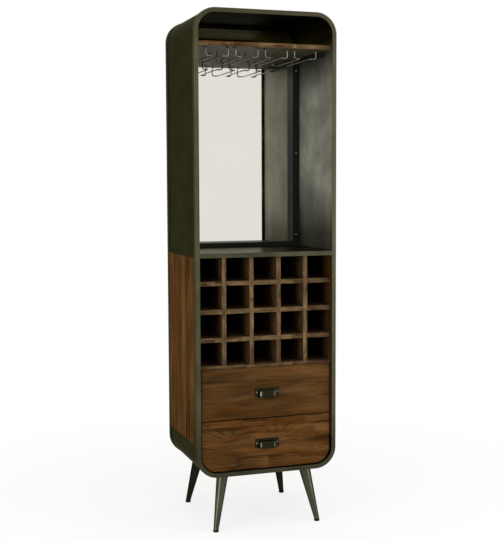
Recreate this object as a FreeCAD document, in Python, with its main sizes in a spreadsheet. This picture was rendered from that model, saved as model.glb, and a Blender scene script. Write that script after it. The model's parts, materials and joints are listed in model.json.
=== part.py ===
import FreeCAD, Part
import math
import os
import Sketcher
from FreeCAD import Rotation, Vector
from types import SimpleNamespace

# Tall bar cabinet on splayed legs: two rounded steel angle frames joined by sheet steel and wooden
# sides, with a mirrored niche and stemware racks above, a lattice for bottles, and two drawers below.
# Millimetres. +Z is up, X runs across the cabinet and the front faces -Y.
# The origin lies on the floor, under the middle of the cabinet.

# Each row is one driving size: its name in the sheet, its value and what it measures.
SIZES = (
    ("width", 600, "overall width of the cabinet"),
    ("depth", 452, "front of the front frame to back of the rear frame"),
    ("body_height", 1867, "height of the two frames"),
    ("leg_height", 225, "floor to the underside of the frames"),
    ("corner_radius", 88, "outer radius of the frames' corners"),
    ("angle_face", 18, "width of the frame angle's face"),
    ("angle_depth", 25, "depth of the frame angle's side"),
    ("angle_thickness", 2.5, "thickness of the frame angle"),
    ("angle_edge_radius", 2, "rounding of the frame angle's bend"),
    ("angle_lip_radius", 0.8, "easing of the frame angle's free lip"),
    ("sheet_thickness", 1.5, "thickness of the wrapped sheet steel"),
    ("sheet_fit", 0.3, "clearance between nested sheets, panels and frames"),
    ("tray_height", 129, "height to which the bottom tray wraps up the sides"),
    ("panel_thickness", 15, "thickness of the wooden sides"),
    ("counter_height", 906, "underside of the frames to the top of the counter"),
    ("counter_lip", 18, "height of the counter's folded edge"),
    ("counter_sheet", 2, "thickness of the counter's steel"),
    ("counter_edge_radius", 1.2, "rounding of the counter's front fold"),
    ("back_thickness", 6, "thickness of the back panels"),
    ("mirror_thickness", 4, "thickness of the mirror glass"),
    ("mirror_side_gap", 15, "side wall to the mirror's edge"),
    ("mirror_top_gap", 14, "ceiling to the mirror's top edge"),
    ("mirror_radius", 60, "radius of the mirror's top corners"),
    ("stile_width", 31, "width of the upright angles beside the mirror"),
    ("stile_depth", 35, "depth of the angles in front of the mirror"),
    ("stile_sheet", 2, "thickness of the angles round the mirror"),
    ("mirror_rail_height", 18, "height of the angle along the mirror's foot"),
    ("shelf_drop", 123, "top of the frames to the top of the stemware shelf"),
    ("shelf_thickness", 18, "thickness of the stemware shelf"),
    ("shelf_setback", 50, "front of the frames to the stemware shelf"),
    ("shelf_edge_radius", 2, "rounding of the stemware shelf's front"),
    ("cleat_width", 20, "leg of the angles that carry the stemware shelf"),
    ("cleat_sheet", 2, "thickness of those angles"),
    ("cleat_setback", 70, "front of the stemware shelf to those angles"),
    ("rack_side_gap", 45.7, "side wall to the outer stemware bay"),
    ("bay_gap", 32, "gap between the hangers of neighbouring bays"),
    ("wire_diameter", 5, "diameter of the rack wire"),
    ("bend_radius", 9, "bend of the rack wire, on its middle line"),
    ("rack_drop", 39, "underside of the shelf to the middle of the rails"),
    ("rack_setback", 12, "front of the shelf to the front hangers"),
    ("rack_length", 270, "front hanger to rear hanger"),
    ("rack_foot", 20, "length of the wire's foot along the shelf"),
    ("tab_length", 14, "length of the flattened tab on each foot"),
    ("tab_width", 11, "width of that tab"),
    ("tab_thickness", 2, "thickness of that tab"),
    ("board_thickness", 18, "thickness of the lattice boards"),
    ("board_setback", 28, "front of the frames to the lattice"),
    ("board_edge_radius", 1, "easing of the lattice's front edges"),
    ("row_height", 96, "clear height of a lattice opening"),
    ("dado_depth", 5, "depth of the grooves that hold the shelves"),
    ("lap_fit", 0.2, "clearance in grooves and half laps"),
    ("front_clearance", 0.5, "back of a closed drawer front to the lattice's base board"),
    ("drawer_side_gap", 5.5, "drawer front to the frame at each side"),
    ("drawer_edge_gap", 3, "lower drawer front to the frame below it"),
    ("drawer_overlap", 5, "how far the upper drawer front covers the base board's edge"),
    ("drawer_gap", 4, "gap between the two drawer fronts"),
    ("front_thickness", 16, "thickness of the drawer fronts"),
    ("front_edge_radius", 1.5, "easing of the drawer fronts"),
    ("front_corner_ease", 4, "frame opening's corner radius less the lower drawer front's"),
    ("box_thickness", 12, "thickness of the drawer sides and backs"),
    ("box_depth", 388, "length of the drawer sides"),
    ("box_top_inset", 20, "top of the drawer front to the drawer sides"),
    ("bottom_thickness", 6, "thickness of the drawer bottoms"),
    ("bottom_raise", 10, "underside of the drawer sides to their groove"),
    ("groove_depth", 6, "depth of the groove for the drawer bottom"),
    ("slide_length", 380, "length of the drawer slides"),
    ("slide_start", 4, "back of the drawer front to the slides"),
    ("slide_rise", 154, "bottom of the drawer front to the slide's middle"),
    ("slide_height", 45, "height of the slide's cabinet member"),
    ("slide_thickness", 12.7, "thickness of the closed slide"),
    ("slide_sheet", 1.2, "thickness of the slide's steel"),
    ("outer_reach", 8.5, "depth of the cabinet member's flanges"),
    ("middle_height", 36, "height of the slide's middle member"),
    ("middle_gap", 2.2, "cabinet wall to the middle member"),
    ("middle_reach", 7.5, "depth of the middle member's flanges"),
    ("inner_height", 26, "height of the slide's drawer member"),
    ("inner_reach", 7.5, "depth of the drawer member's flanges"),
    ("bearing_width", 4, "width of the bearing strips in the slide"),
    ("bearing_fit", 0.3, "running clearance at the bearing strips"),
    ("pull_width", 102, "width of the pull's plate"),
    ("pull_height", 38, "height of the pull's plate"),
    ("pull_plate", 2, "thickness of the pull's plate"),
    ("pull_radius", 3, "corners of the pull's plate"),
    ("pull_rise", 1, "middle of the drawer front to the middle of the pull"),
    ("cup_width", 76, "width of the pull's cup"),
    ("cup_height", 28, "height of the pull's cup, up from the plate's lower edge"),
    ("cup_projection", 20, "depth of the cup's rim in front of its plate"),
    ("cup_lean", 7, "how far the cup's front and ends draw in from its rim to its top"),
    ("cup_wall", 2, "wall of the cup"),
    ("cup_end_radius", 13, "rounding from the cup's ends to its front, seen from above"),
    ("cup_top_radius", 3.5, "rounding of the cup's top edge"),
    ("pull_screw_spacing", 88, "distance between the pull's screws"),
    ("screw_head_diameter", 7, "head of a wood screw"),
    ("screw_head_height", 2, "height of that head"),
    ("screw_diameter", 3.5, "shank of a wood screw"),
    ("screw_fit", 0.1, "radial clearance of a shank in its hole"),
    ("leg_top_diameter", 48, "leg at its plate"),
    ("leg_foot_diameter", 21, "leg at its foot cap"),
    ("leg_splay", 41, "how far a leg leans out, both sideways and to the front or back"),
    ("foot_side_inset", 80, "side of the cabinet to the middle of a foot"),
    ("foot_end_inset", 11.5, "front or back of the cabinet to the middle of a foot"),
    ("cap_height", 9, "height of a foot cap"),
    ("cap_diameter", 23, "diameter of a foot cap"),
    ("cap_edge_radius", 2, "rounding of a foot cap's lower edge"),
    ("plate_size", 70, "side of the square plate on each leg"),
    ("plate_thickness", 4, "thickness of that plate"),
    ("plate_radius", 6, "corners of that plate"),
    ("bolt_inset", 8, "edge of the plate to its bolts"),
    ("bolt_diameter", 6, "shank of a leg bolt"),
    ("bolt_head_radius", 5.5, "corner radius of a bolt's six-sided head"),
    ("bolt_head_height", 4, "height of a bolt's head"),
)

COLUMNS = 5
ROWS = 4
BAYS = 4
HEX_SIDES = 6
QUARTER_TURN = 90
SIDES = (("left", -1), ("right", 1))
ENDS = (("front", -1), ("rear", 1))
SHEET = "sizes"

# Height of the drawer boxes above their fronts' lower edge, as a share of the frame opening's corner
# radius: it lets the square boxes pass the rounded corners.
BOX_RISE_SHARE = 0.52
# The slot that a glass stem slides along, as a share of its bay's width.
SLOT_SHARE = 0.43
# How far the leg blanks overrun their foot caps, as a share of their overrun at the top.
FOOT_OVERRUN_SHARE = 0.4
# Places nearer than this share of the width count as one place.
NEAR_SHARE = 0.00001


class Dim:
    """A size: its number in millimetres and the sheet expression that gives it."""

    def __init__(self, value, text):
        self.value = value
        self.text = text

    def join(self, sign, other, value):
        """The size that this one makes with another, written as one expression."""
        other_text = other.text if isinstance(other, Dim) else str(other)
        return Dim(value, f"({self.text} {sign} {other_text})")

    def __add__(self, other):
        return self.join("+", other, self.value + number(other))

    def __sub__(self, other):
        return self.join("-", other, self.value - number(other))

    def __mul__(self, other):
        return self.join("*", other, self.value * number(other))

    def __truediv__(self, other):
        return self.join("/", other, self.value / number(other))

    def __neg__(self):
        return self * -1

    def squared(self):
        return self * self

    def root(self):
        """The square root of a size that two others multiplied."""
        return Dim(math.sqrt(self.value), f"sqrt({self.text})")

    def lean(self):
        """The angle in degrees whose tangent this ratio of two sizes is."""
        return Dim(math.degrees(math.atan(self.value)), f"atan({self.text})")


def number(size):
    """The plain number of a size or a count."""
    return size.value if isinstance(size, Dim) else size


NIL = Dim(0.0, "0")

doc = FreeCAD.newDocument("bar_cabinet")
parts = []


def fill_sheet():
    """Write the driving sizes into the sheet and return them by name."""
    sheet = doc.addObject("Spreadsheet::Sheet", SHEET)
    sizes = SimpleNamespace()
    for row, (name, value, note) in enumerate(SIZES, start=1):
        sheet.set(f"A{row}", note)
        sheet.set(f"B{row}", str(value))
        sheet.setAlias(f"B{row}", name)
        setattr(sizes, name, Dim(float(value), f"{SHEET}.{name}"))
    doc.recompute()
    return sizes


S = fill_sheet()

# Places that several pieces share, worked out from the driving sizes.
drawer_recess = S.board_setback - S.front_clearance - S.front_thickness
pull_proud = S.pull_plate + S.cup_projection - drawer_recess
front = (pull_proud - S.depth) / 2
rear = front + S.depth
half_width = S.width / 2
frame_bottom = S.leg_height
frame_top = S.leg_height + S.body_height
lip_half = half_width - S.angle_face
lip_bottom = frame_bottom + S.angle_face
skin_half = half_width - S.angle_thickness - S.sheet_fit
skin_radius = S.corner_radius - S.angle_thickness - S.sheet_fit
skin_bottom = frame_bottom + S.angle_thickness + S.sheet_fit
skin_top = frame_top - S.angle_thickness - S.sheet_fit
wall_half = skin_half - S.sheet_thickness
wall_radius = skin_radius - S.sheet_thickness
floor_in = skin_bottom + S.sheet_thickness
ceiling = skin_top - S.sheet_thickness
skin_front = front + S.angle_thickness
skin_rear = rear - S.angle_thickness
panel_half = skin_half - S.panel_thickness
panel_bottom = frame_bottom + S.tray_height
counter_top = frame_bottom + S.counter_height
counter_under = counter_top - S.counter_lip
back_front = skin_rear - S.back_thickness
mirror_front = back_front - S.mirror_thickness
stile_front = mirror_front - S.stile_depth
inset_half = wall_half - S.sheet_fit
shelf_top = frame_top - S.shelf_drop
shelf_under = shelf_top - S.shelf_thickness
shelf_front = front + S.shelf_setback
bay_pitch = (wall_half - S.rack_side_gap) * 2 / BAYS
bay_width = bay_pitch - S.bay_gap
board_front = front + S.board_setback
board_rear = back_front - S.sheet_fit
row_pitch = S.row_height + S.board_thickness
column_width = (panel_half * 2 - S.board_thickness * (COLUMNS - 1)) / COLUMNS
column_pitch = column_width + S.board_thickness
base_top = counter_under - row_pitch * (ROWS - 1) - S.row_height
base_under = base_top - S.board_thickness
drawer_face = front + drawer_recess
drawer_back = drawer_face + S.front_thickness
drawer_half = lip_half - S.drawer_side_gap
drawer_top = base_under + S.drawer_overlap
drawer_height = (drawer_top - lip_bottom - S.drawer_edge_gap - S.drawer_gap) / 2
drawer_bottoms = {
    "lower": lip_bottom + S.drawer_edge_gap,
    "upper": lip_bottom + S.drawer_edge_gap + drawer_height + S.drawer_gap,
}
box_half = panel_half - S.slide_thickness
opening_radius = S.corner_radius - S.angle_face
box_rise = opening_radius * BOX_RISE_SHARE
near = S.width.value * NEAR_SHARE
plate_top = skin_bottom
plate_under = plate_top - S.plate_thickness


def place(thing, x=NIL, y=NIL, z=NIL):
    """Bind the place of an object to the sheet."""
    for axis, size in zip("xyz", (x, y, z)):
        thing.setExpression(f"Placement.Base.{axis}", size.text)


def keep(thing):
    """Count an object among the sub-parts that are written out."""
    parts.append(thing)
    return thing


def make_body(label, x=NIL, y=NIL, z=NIL):
    """An empty body at a place that follows the sheet."""
    body = doc.addObject("PartDesign::Body", label)
    place(body, x, y, z)
    return body


def add_sketch(body, role, offset=None):
    """A sketch on one of the body's own origin planes, moved along the plane's normal."""
    sketch = body.newObject("Sketcher::SketchObject", body.Name + "_sketch")
    plane = next(item for item in body.Origin.OriginFeatures if item.Role == role)
    sketch.AttachmentSupport = [(plane, "")]
    sketch.MapMode = "FlatFace"
    if offset is not None:
        sketch.setExpression("AttachmentOffset.Base.z", offset.text)
    return sketch


def bind_constraint(sketch, constraint, size):
    """Add a dimension to a sketch and bind it to the sheet."""
    index = sketch.addConstraint(constraint)
    sketch.setExpression(f"Constraints[{index}]", size.text)


def pin_point(sketch, element, spot, x, y):
    """Fix a point of a sketch element at a place measured from the sketch's origin."""
    bind_constraint(sketch, Sketcher.Constraint("DistanceX", -1, 1, element, spot, x.value), x)
    bind_constraint(sketch, Sketcher.Constraint("DistanceY", -1, 1, element, spot, y.value), y)


def step(size, sign):
    """A size with the sign of a direction: plus, minus or nothing."""
    return size * round(sign)


def outline(sketch, corners):
    """Draw a closed outline; a corner is (x, y), or (x, y, radius) where two square edges are rounded."""
    spots = [Vector(corner[0].value, corner[1].value, 0) for corner in corners]
    count = len(corners)
    enters, leaves, arcs = [], [], {}
    for index, corner in enumerate(corners):
        back = (spots[index - 1] - spots[index]).normalize()
        ahead = (spots[(index + 1) % count] - spots[index]).normalize()
        radius = corner[2] if len(corner) > 2 else NIL
        enters.append(spots[index] + back * radius.value)
        leaves.append(spots[index] + ahead * radius.value)
        if radius is not NIL:
            centre_x = corner[0] + step(radius, back.x + ahead.x)
            centre_y = corner[1] + step(radius, back.y + ahead.y)
            left_turn = ahead.cross(back).z > 0
            arcs[index] = (centre_x, centre_y, radius, left_turn)
    first = sketch.GeometryCount
    for index in range(count):
        sketch.addGeometry(Part.LineSegment(leaves[index], enters[(index + 1) % count]), False)
    for index in range(count):
        line_in = first + (index - 1) % count
        line_out = first + index
        if index not in arcs:
            sketch.addConstraint(Sketcher.Constraint("Coincident", line_in, 2, line_out, 1))
            pin_point(sketch, line_out, 1, corners[index][0], corners[index][1])
            continue
        centre_x, centre_y, radius, left_turn = arcs[index]
        centre = Vector(centre_x.value, centre_y.value, 0)
        start, end = (enters, leaves) if left_turn else (leaves, enters)
        circle = Part.Circle(centre, Vector(0, 0, 1), radius.value)
        span = (circle.parameter(start[index]), circle.parameter(end[index]))
        arc = sketch.addGeometry(Part.ArcOfCircle(circle, *span), False)
        arc_in, arc_out = (1, 2) if left_turn else (2, 1)
        sketch.addConstraint(Sketcher.Constraint("Tangent", line_in, 2, arc, arc_in))
        sketch.addConstraint(Sketcher.Constraint("Tangent", arc, arc_out, line_out, 1))
        pin_point(sketch, arc, 3, centre_x, centre_y)
        bind_constraint(sketch, Sketcher.Constraint("Radius", arc, radius.value), radius)


def round_hole(sketch, x, y, radius):
    """Draw a circle in a sketch."""
    centre = Vector(x.value, y.value, 0)
    circle = sketch.addGeometry(Part.Circle(centre, Vector(0, 0, 1), radius.value), False)
    pin_point(sketch, circle, 3, x, y)
    bind_constraint(sketch, Sketcher.Constraint("Radius", circle, radius.value), radius)


def rectangle(x_low, y_low, x_high, y_high, low_radius=None, high_radius=None):
    """The corners of a rectangle, with its lower and upper corners rounded on demand."""
    low = () if low_radius is None else (low_radius,)
    high = () if high_radius is None else (high_radius,)
    return (
        (x_low, y_low) + low,
        (x_high, y_low) + low,
        (x_high, y_high) + high,
        (x_low, y_high) + high,
    )


def extrude(body, sketch, length, kind="Pad", backwards=False):
    """Pad or pocket a sketch, along the plane's normal for a pad and against it for a pocket."""
    feature = body.newObject(f"PartDesign::{kind}", f"{body.Name}_{kind.lower()}")
    feature.Profile = sketch
    feature.setExpression("Length", length.text)
    feature.Reversed = backwards
    sketch.Visibility = False
    doc.recompute()
    return feature


def edge_names(shape, chosen):
    """The names of the chosen edges in a shape."""
    names = []
    for index, edge in enumerate(shape.Edges, start=1):
        if any(edge.isSame(item) for item in chosen):
            names.append(f"Edge{index}")
    return names


def round_edges(body, chosen, radius):
    """Round the chosen edges of a body's last feature."""
    base = body.Tip
    fillet = body.newObject("PartDesign::Fillet", f"{body.Name}_fillet")
    fillet.Base = (base, edge_names(base.Shape, chosen))
    fillet.setExpression("Radius", radius.text)
    doc.recompute()
    return fillet


def faces_across(shape, axis):
    """The flat faces of a shape that lie square to an axis."""
    flat = [face for face in shape.Faces if isinstance(face.Surface, Part.Plane)]
    return [face for face in flat if round(abs(getattr(face.Surface.Axis, axis)))]


def end_face(shape, axis, sign):
    """The flat face that lies furthest along an axis, in the direction of the sign."""
    return max(faces_across(shape, axis), key=lambda face: sign * getattr(face.CenterOfMass, axis))


def front_edges(shape, axis):
    """The edges along an axis on the foremost flat faces of a shape."""
    faces = faces_across(shape, "y")
    foremost = min(face.CenterOfMass.y for face in faces)
    edges = [edge for face in faces if face.CenterOfMass.y < foremost + near for edge in face.Edges]
    return [edge for edge in edges if round(abs(getattr(edge.tangentAt(edge.FirstParameter), axis)))]


def make_board(label, lows, highs):
    """A plain rectangular board between two opposite corners."""
    board = doc.addObject("Part::Box", label)
    for name, low, high in zip(("Length", "Width", "Height"), lows, highs):
        board.setExpression(name, (high - low).text)
    place(board, *lows)
    return keep(board)


def make_group(label, members):
    """Several like solids under one name."""
    group = doc.addObject("Part::Compound", label)
    group.Links = members
    return keep(group)


def mirror_copy(source):
    """The same solid on the other side of the cabinet's middle plane."""
    copy = doc.addObject("Part::Mirroring", source.Name + "_copy")
    copy.Source = source
    copy.Base = Vector(0, 0, 0)
    copy.Normal = Vector(1, 0, 0)
    return copy


# Frames and outer skin


def make_frame(label, y, backwards):
    """A rounded ring of steel angle, its face outwards and its side running into the cabinet."""
    body = make_body(label, NIL, y, frame_bottom)
    ring = rectangle(-half_width, NIL, half_width, S.body_height, S.corner_radius, S.corner_radius)

    def inset_ring(inset):
        radius = S.corner_radius - inset
        return rectangle(inset - half_width, inset, half_width - inset, S.body_height - inset, radius, radius)

    for inset, length in ((S.angle_face, S.angle_thickness), (S.angle_thickness, S.angle_depth)):
        sketch = add_sketch(body, "XZ_Plane")
        outline(sketch, ring)
        outline(sketch, inset_ring(inset))
        extrude(body, sketch, length, backwards=backwards)
    outward = -1 if backwards else 1
    face = end_face(body.Tip.Shape, "y", outward)
    round_edges(body, face.OuterWire.Edges, S.angle_edge_radius)
    face = end_face(body.Tip.Shape, "y", outward)
    lips = [wire for wire in face.Wires if not wire.isSame(face.OuterWire)]
    round_edges(body, lips[0].Edges, S.angle_lip_radius)
    return keep(body)


def make_skin(label, end, far, radius_end):
    """Sheet steel wrapped round the top or the bottom of the cabinet, between the two frames."""
    body = make_body(label, NIL, skin_front, NIL)
    sketch = add_sketch(body, "XZ_Plane")
    if radius_end == "high":
        inner_far = far - S.sheet_thickness
    else:
        inner_far = far + S.sheet_thickness
    outline(sketch, (
        (-skin_half, end),
        (-skin_half, far, skin_radius),
        (skin_half, far, skin_radius),
        (skin_half, end),
        (wall_half, end),
        (wall_half, inner_far, wall_radius),
        (-wall_half, inner_far, wall_radius),
        (-wall_half, end),
    ))
    extrude(body, sketch, skin_rear - skin_front, backwards=True)
    return keep(body)


def make_side_panel(label, left):
    """A wooden side, grooved on its inner face for the lattice shelves and the base board."""
    x_low = -skin_half if left else panel_half
    body = make_body(label, x_low, skin_front, panel_bottom)
    sketch = add_sketch(body, "YZ_Plane")
    outline(sketch, rectangle(NIL, NIL, back_front - skin_front, counter_under - panel_bottom))
    extrude(body, sketch, S.panel_thickness)
    groove_start = board_front - S.lap_fit - skin_front
    groove_end = back_front - skin_front
    grooves = add_sketch(body, "YZ_Plane", S.panel_thickness if left else None)
    for under in shelf_undersides() + [base_under]:
        low = under - S.lap_fit - panel_bottom
        high = under + S.board_thickness + S.lap_fit - panel_bottom
        outline(grooves, rectangle(groove_start, low, groove_end, high))
    extrude(body, grooves, S.dado_depth, "Pocket", backwards=not left)
    return keep(body)


def shelf_undersides():
    """The undersides of the lattice's full-width shelves, from the top down."""
    return [counter_under - row_pitch * row for row in range(1, ROWS)]


# Counter, back and mirror


def counter_outline(inset):
    """The counter's outline, narrower where it passes between the frame's lips."""
    nose = lip_half - S.sheet_fit - inset
    side = skin_half - inset
    shoulder = S.angle_thickness + S.sheet_fit + inset
    return (
        (-nose, inset),
        (nose, inset),
        (nose, shoulder),
        (side, shoulder),
        (side, skin_rear - front - inset),
        (-side, skin_rear - front - inset),
        (-side, shoulder),
        (-nose, shoulder),
    )


def make_counter():
    """A folded steel pan, open below, whose front edge lies flush with the frame."""
    body = make_body("counter_shelf", NIL, front, counter_top - S.counter_sheet)
    plate = add_sketch(body, "XY_Plane")
    outline(plate, counter_outline(NIL))
    extrude(body, plate, S.counter_sheet)
    walls = add_sketch(body, "XY_Plane")
    outline(walls, counter_outline(NIL))
    outline(walls, counter_outline(S.counter_sheet))
    extrude(body, walls, S.counter_lip - S.counter_sheet, backwards=True)
    fold = max(front_edges(body.Tip.Shape, "x"), key=lambda edge: edge.CenterOfMass.z)
    round_edges(body, [fold], S.counter_edge_radius)
    return keep(body)


def make_counter_core():
    """The board inside the counter pan, which the lattice's dividers reach up to."""
    side = skin_half - S.counter_sheet - S.sheet_fit
    start = front + S.angle_thickness + S.sheet_fit * 2 + S.counter_sheet
    end = skin_rear - S.counter_sheet - S.sheet_fit
    lows = (-side, start, counter_under)
    return make_board("counter_core", lows, (side, end, counter_top - S.counter_sheet))


def make_back(label, low, high, low_radius=None, high_radius=None):
    """A back panel that lies against the rear frame's lip."""
    body = make_body(label, NIL, back_front, NIL)
    sketch = add_sketch(body, "XZ_Plane")
    outline(sketch, rectangle(-inset_half, low, inset_half, high, low_radius, high_radius))
    extrude(body, sketch, S.back_thickness, backwards=True)
    return keep(body)


def make_mirror():
    """The mirror glass, standing on the counter against the back panel."""
    half = wall_half - S.mirror_side_gap
    body = make_body("mirror_glass", NIL, mirror_front, NIL)
    sketch = add_sketch(body, "XZ_Plane")
    outline(sketch, rectangle(-half, counter_top, half, ceiling - S.mirror_top_gap, None, S.mirror_radius))
    extrude(body, sketch, S.mirror_thickness, backwards=True)
    return keep(body)


def make_stile(label, left):
    """An upright steel angle that holds one edge of the mirror and carries a corner of the shelf."""
    body = make_body(label, NIL, stile_front, counter_top)
    sketch = add_sketch(body, "XY_Plane")
    outer = inset_half
    inner = inset_half - S.stile_width
    if left:
        corners = (
            (-outer, NIL),
            (-inner, NIL),
            (-inner, S.stile_depth),
            (-inner - S.stile_sheet, S.stile_depth),
            (-inner - S.stile_sheet, S.stile_sheet),
            (-outer, S.stile_sheet),
        )
    else:
        corners = (
            (inner, NIL),
            (outer, NIL),
            (outer, S.stile_sheet),
            (inner + S.stile_sheet, S.stile_sheet),
            (inner + S.stile_sheet, S.stile_depth),
            (inner, S.stile_depth),
        )
    outline(sketch, corners)
    extrude(body, sketch, shelf_under - counter_top)
    return keep(body)


def make_mirror_rail():
    """A steel angle along the mirror's foot, between the two stiles."""
    half = inset_half - S.stile_width - S.sheet_fit
    body = make_body("mirror_rail", -half, stile_front, counter_top)
    sketch = add_sketch(body, "YZ_Plane")
    outline(sketch, (
        (NIL, NIL),
        (S.stile_sheet, NIL),
        (S.stile_sheet, S.mirror_rail_height - S.stile_sheet),
        (S.stile_depth, S.mirror_rail_height - S.stile_sheet),
        (S.stile_depth, S.mirror_rail_height),
        (NIL, S.mirror_rail_height),
    ))
    extrude(body, sketch, half * 2)
    return keep(body)


# Stemware shelf and racks


def make_stemware_shelf():
    """The wooden shelf under the ceiling, with an eased front edge."""
    body = make_body("stemware_shelf", NIL, shelf_front, shelf_under)
    sketch = add_sketch(body, "XY_Plane")
    run = mirror_front - S.sheet_fit - shelf_front
    outline(sketch, rectangle(-inset_half, NIL, inset_half, run))
    extrude(body, sketch, S.shelf_thickness)
    round_edges(body, front_edges(body.Tip.Shape, "x"), S.shelf_edge_radius)
    return keep(body)


def make_cleats():
    """Two steel angles on the side walls, under the ends of the stemware shelf."""
    start = shelf_front + S.cleat_setback
    body = make_body("shelf_cleat", NIL, start, shelf_under - S.cleat_width)
    sketch = add_sketch(body, "XZ_Plane")
    inner = wall_half - S.cleat_width
    outline(sketch, (
        (wall_half - S.cleat_sheet, NIL),
        (wall_half, NIL),
        (wall_half, S.cleat_width),
        (inner, S.cleat_width),
        (inner, S.cleat_width - S.cleat_sheet),
        (wall_half - S.cleat_sheet, S.cleat_width - S.cleat_sheet),
    ))
    extrude(body, sketch, stile_front - start, backwards=True)
    return make_group("shelf_cleats", [body, mirror_copy(body)])


def bent_wire(points, bend, radius):
    """A round wire through the points, with a quarter turn at each of its square corners."""
    solids = []
    start = points[0]

    def section(spot, heading):
        return Part.Face(Part.Wire(Part.makeCircle(radius, spot, heading)))

    for before, corner, after in zip(points, points[1:], points[2:]):
        into = (corner - before).normalize()
        out = (after - corner).normalize()
        enter = corner - into * bend
        centre = enter + out * bend
        solids.append(section(start, into).extrude(enter - start))
        solids.append(section(enter, into).revolve(centre, into.cross(out), QUARTER_TURN))
        start = corner + out * bend
    last = points[-1] - start
    solids.append(section(start, Vector(last).normalize()).extrude(last))
    return solids


def bay_middles():
    """The middles of the stemware bays across the cabinet."""
    return [bay_pitch * (bay - (BAYS - 1) / 2) for bay in range(BAYS)]


def rack_wire(middle, side):
    """One bent wire: foot, hanger, inward turn, rail, outward turn, hanger and foot, with two tabs."""
    hang_x = (middle + bay_width * side / 2).value
    rail_x = (middle + bay_width * SLOT_SHARE * side / 2).value
    first = (shelf_front + S.rack_setback).value
    last = first + S.rack_length.value
    foot = S.rack_foot.value
    high = (shelf_under - S.wire_diameter / 2).value
    low = (shelf_under - S.rack_drop).value
    solids = bent_wire([
        Vector(hang_x, first + foot, high),
        Vector(hang_x, first, high),
        Vector(hang_x, first, low),
        Vector(rail_x, first, low),
        Vector(rail_x, last, low),
        Vector(hang_x, last, low),
        Vector(hang_x, last, high),
        Vector(hang_x, last - foot, high),
    ], S.bend_radius.value, S.wire_diameter.value / 2)
    length, width, thickness = S.tab_length.value, S.tab_width.value, S.tab_thickness.value
    for tab_start in (first + foot - thickness, last - foot + thickness - length):
        corner = Vector(hang_x - width / 2, tab_start, shelf_under.value - thickness)
        solids.append(Part.makeBox(width, length, thickness, corner))
    return solids[0].multiFuse(solids[1:]).removeSplitter()


def make_racks():
    """The wire racks under the stemware shelf: each bay has a left and a right wire."""
    for bay, middle in enumerate(bay_middles(), start=1):
        rack = doc.addObject("Part::Feature", f"stem_rack_{bay}")
        rack.Shape = Part.makeCompound([rack_wire(middle, side) for side in (-1, 1)])
        keep(rack)


# Bottle lattice


def notched_corners(length, width, notches, notch_depth, from_low):
    """A rectangle of length by width with slots cut half way in from one long edge."""
    half_notch = S.board_thickness / 2 + S.lap_fit
    bottom = [(NIL, NIL), (length, NIL)]
    top = [(length, width), (NIL, width)]
    if from_low:
        bottom = [(NIL, NIL)]
        for spot in notches:
            bottom += [
                (spot - half_notch, NIL),
                (spot - half_notch, notch_depth),
                (spot + half_notch, notch_depth),
                (spot + half_notch, NIL),
            ]
        bottom.append((length, NIL))
    else:
        top = [(length, width)]
        for spot in reversed(notches):
            top += [
                (spot + half_notch, width),
                (spot + half_notch, width - notch_depth),
                (spot - half_notch, width - notch_depth),
                (spot - half_notch, width),
            ]
        top.append((NIL, width))
    return bottom + top


def make_lattice():
    """Half-lapped boards: the dividers run through at the front, the shelves at the back."""
    depth = board_rear - board_front
    lap = depth / 2 + S.lap_fit
    shelf_half = panel_half + S.dado_depth - S.lap_fit
    dividers = [column_pitch * (column - COLUMNS / 2) for column in range(1, COLUMNS)]
    for index, under in enumerate(shelf_undersides(), start=1):
        body = make_body(f"wine_shelf_{index}", -shelf_half, board_front, under)
        sketch = add_sketch(body, "XY_Plane")
        notches = [middle + shelf_half for middle in dividers]
        outline(sketch, notched_corners(shelf_half * 2, depth, notches, lap, from_low=True))
        extrude(body, sketch, S.board_thickness)
        round_edges(body, front_edges(body.Tip.Shape, "x"), S.board_edge_radius)
        keep(body)
    height = counter_under - base_top
    for index, middle in enumerate(dividers, start=1):
        body = make_body(f"wine_divider_{index}", middle - S.board_thickness / 2, board_front, base_top)
        sketch = add_sketch(body, "YZ_Plane")
        notches = [under + S.board_thickness / 2 - base_top for under in reversed(shelf_undersides())]
        turned = notched_corners(height, depth, notches, lap, from_low=False)
        outline(sketch, [(across, along) for along, across in reversed(turned)])
        extrude(body, sketch, S.board_thickness)
        round_edges(body, front_edges(body.Tip.Shape, "z"), S.board_edge_radius)
        keep(body)
    base = make_body("wine_base_board", -shelf_half, board_front, base_under)
    sketch = add_sketch(base, "XY_Plane")
    outline(sketch, rectangle(NIL, NIL, shelf_half * 2, depth))
    extrude(base, sketch, S.board_thickness)
    round_edges(base, front_edges(base.Tip.Shape, "x"), S.board_edge_radius)
    keep(base)


# Drawers


def make_drawer_front(label, bottom, rounded):
    """A drawer front with eased edges; the lower one follows the frame's corners."""
    body = make_body(label, NIL, drawer_face, bottom)
    sketch = add_sketch(body, "XZ_Plane")
    low_radius = opening_radius - S.front_corner_ease if rounded else None
    outline(sketch, rectangle(-drawer_half, NIL, drawer_half, drawer_height, low_radius))
    extrude(body, sketch, S.front_thickness, backwards=True)
    round_edges(body, end_face(body.Tip.Shape, "y", -1).Edges, S.front_edge_radius)
    return keep(body)


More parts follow.
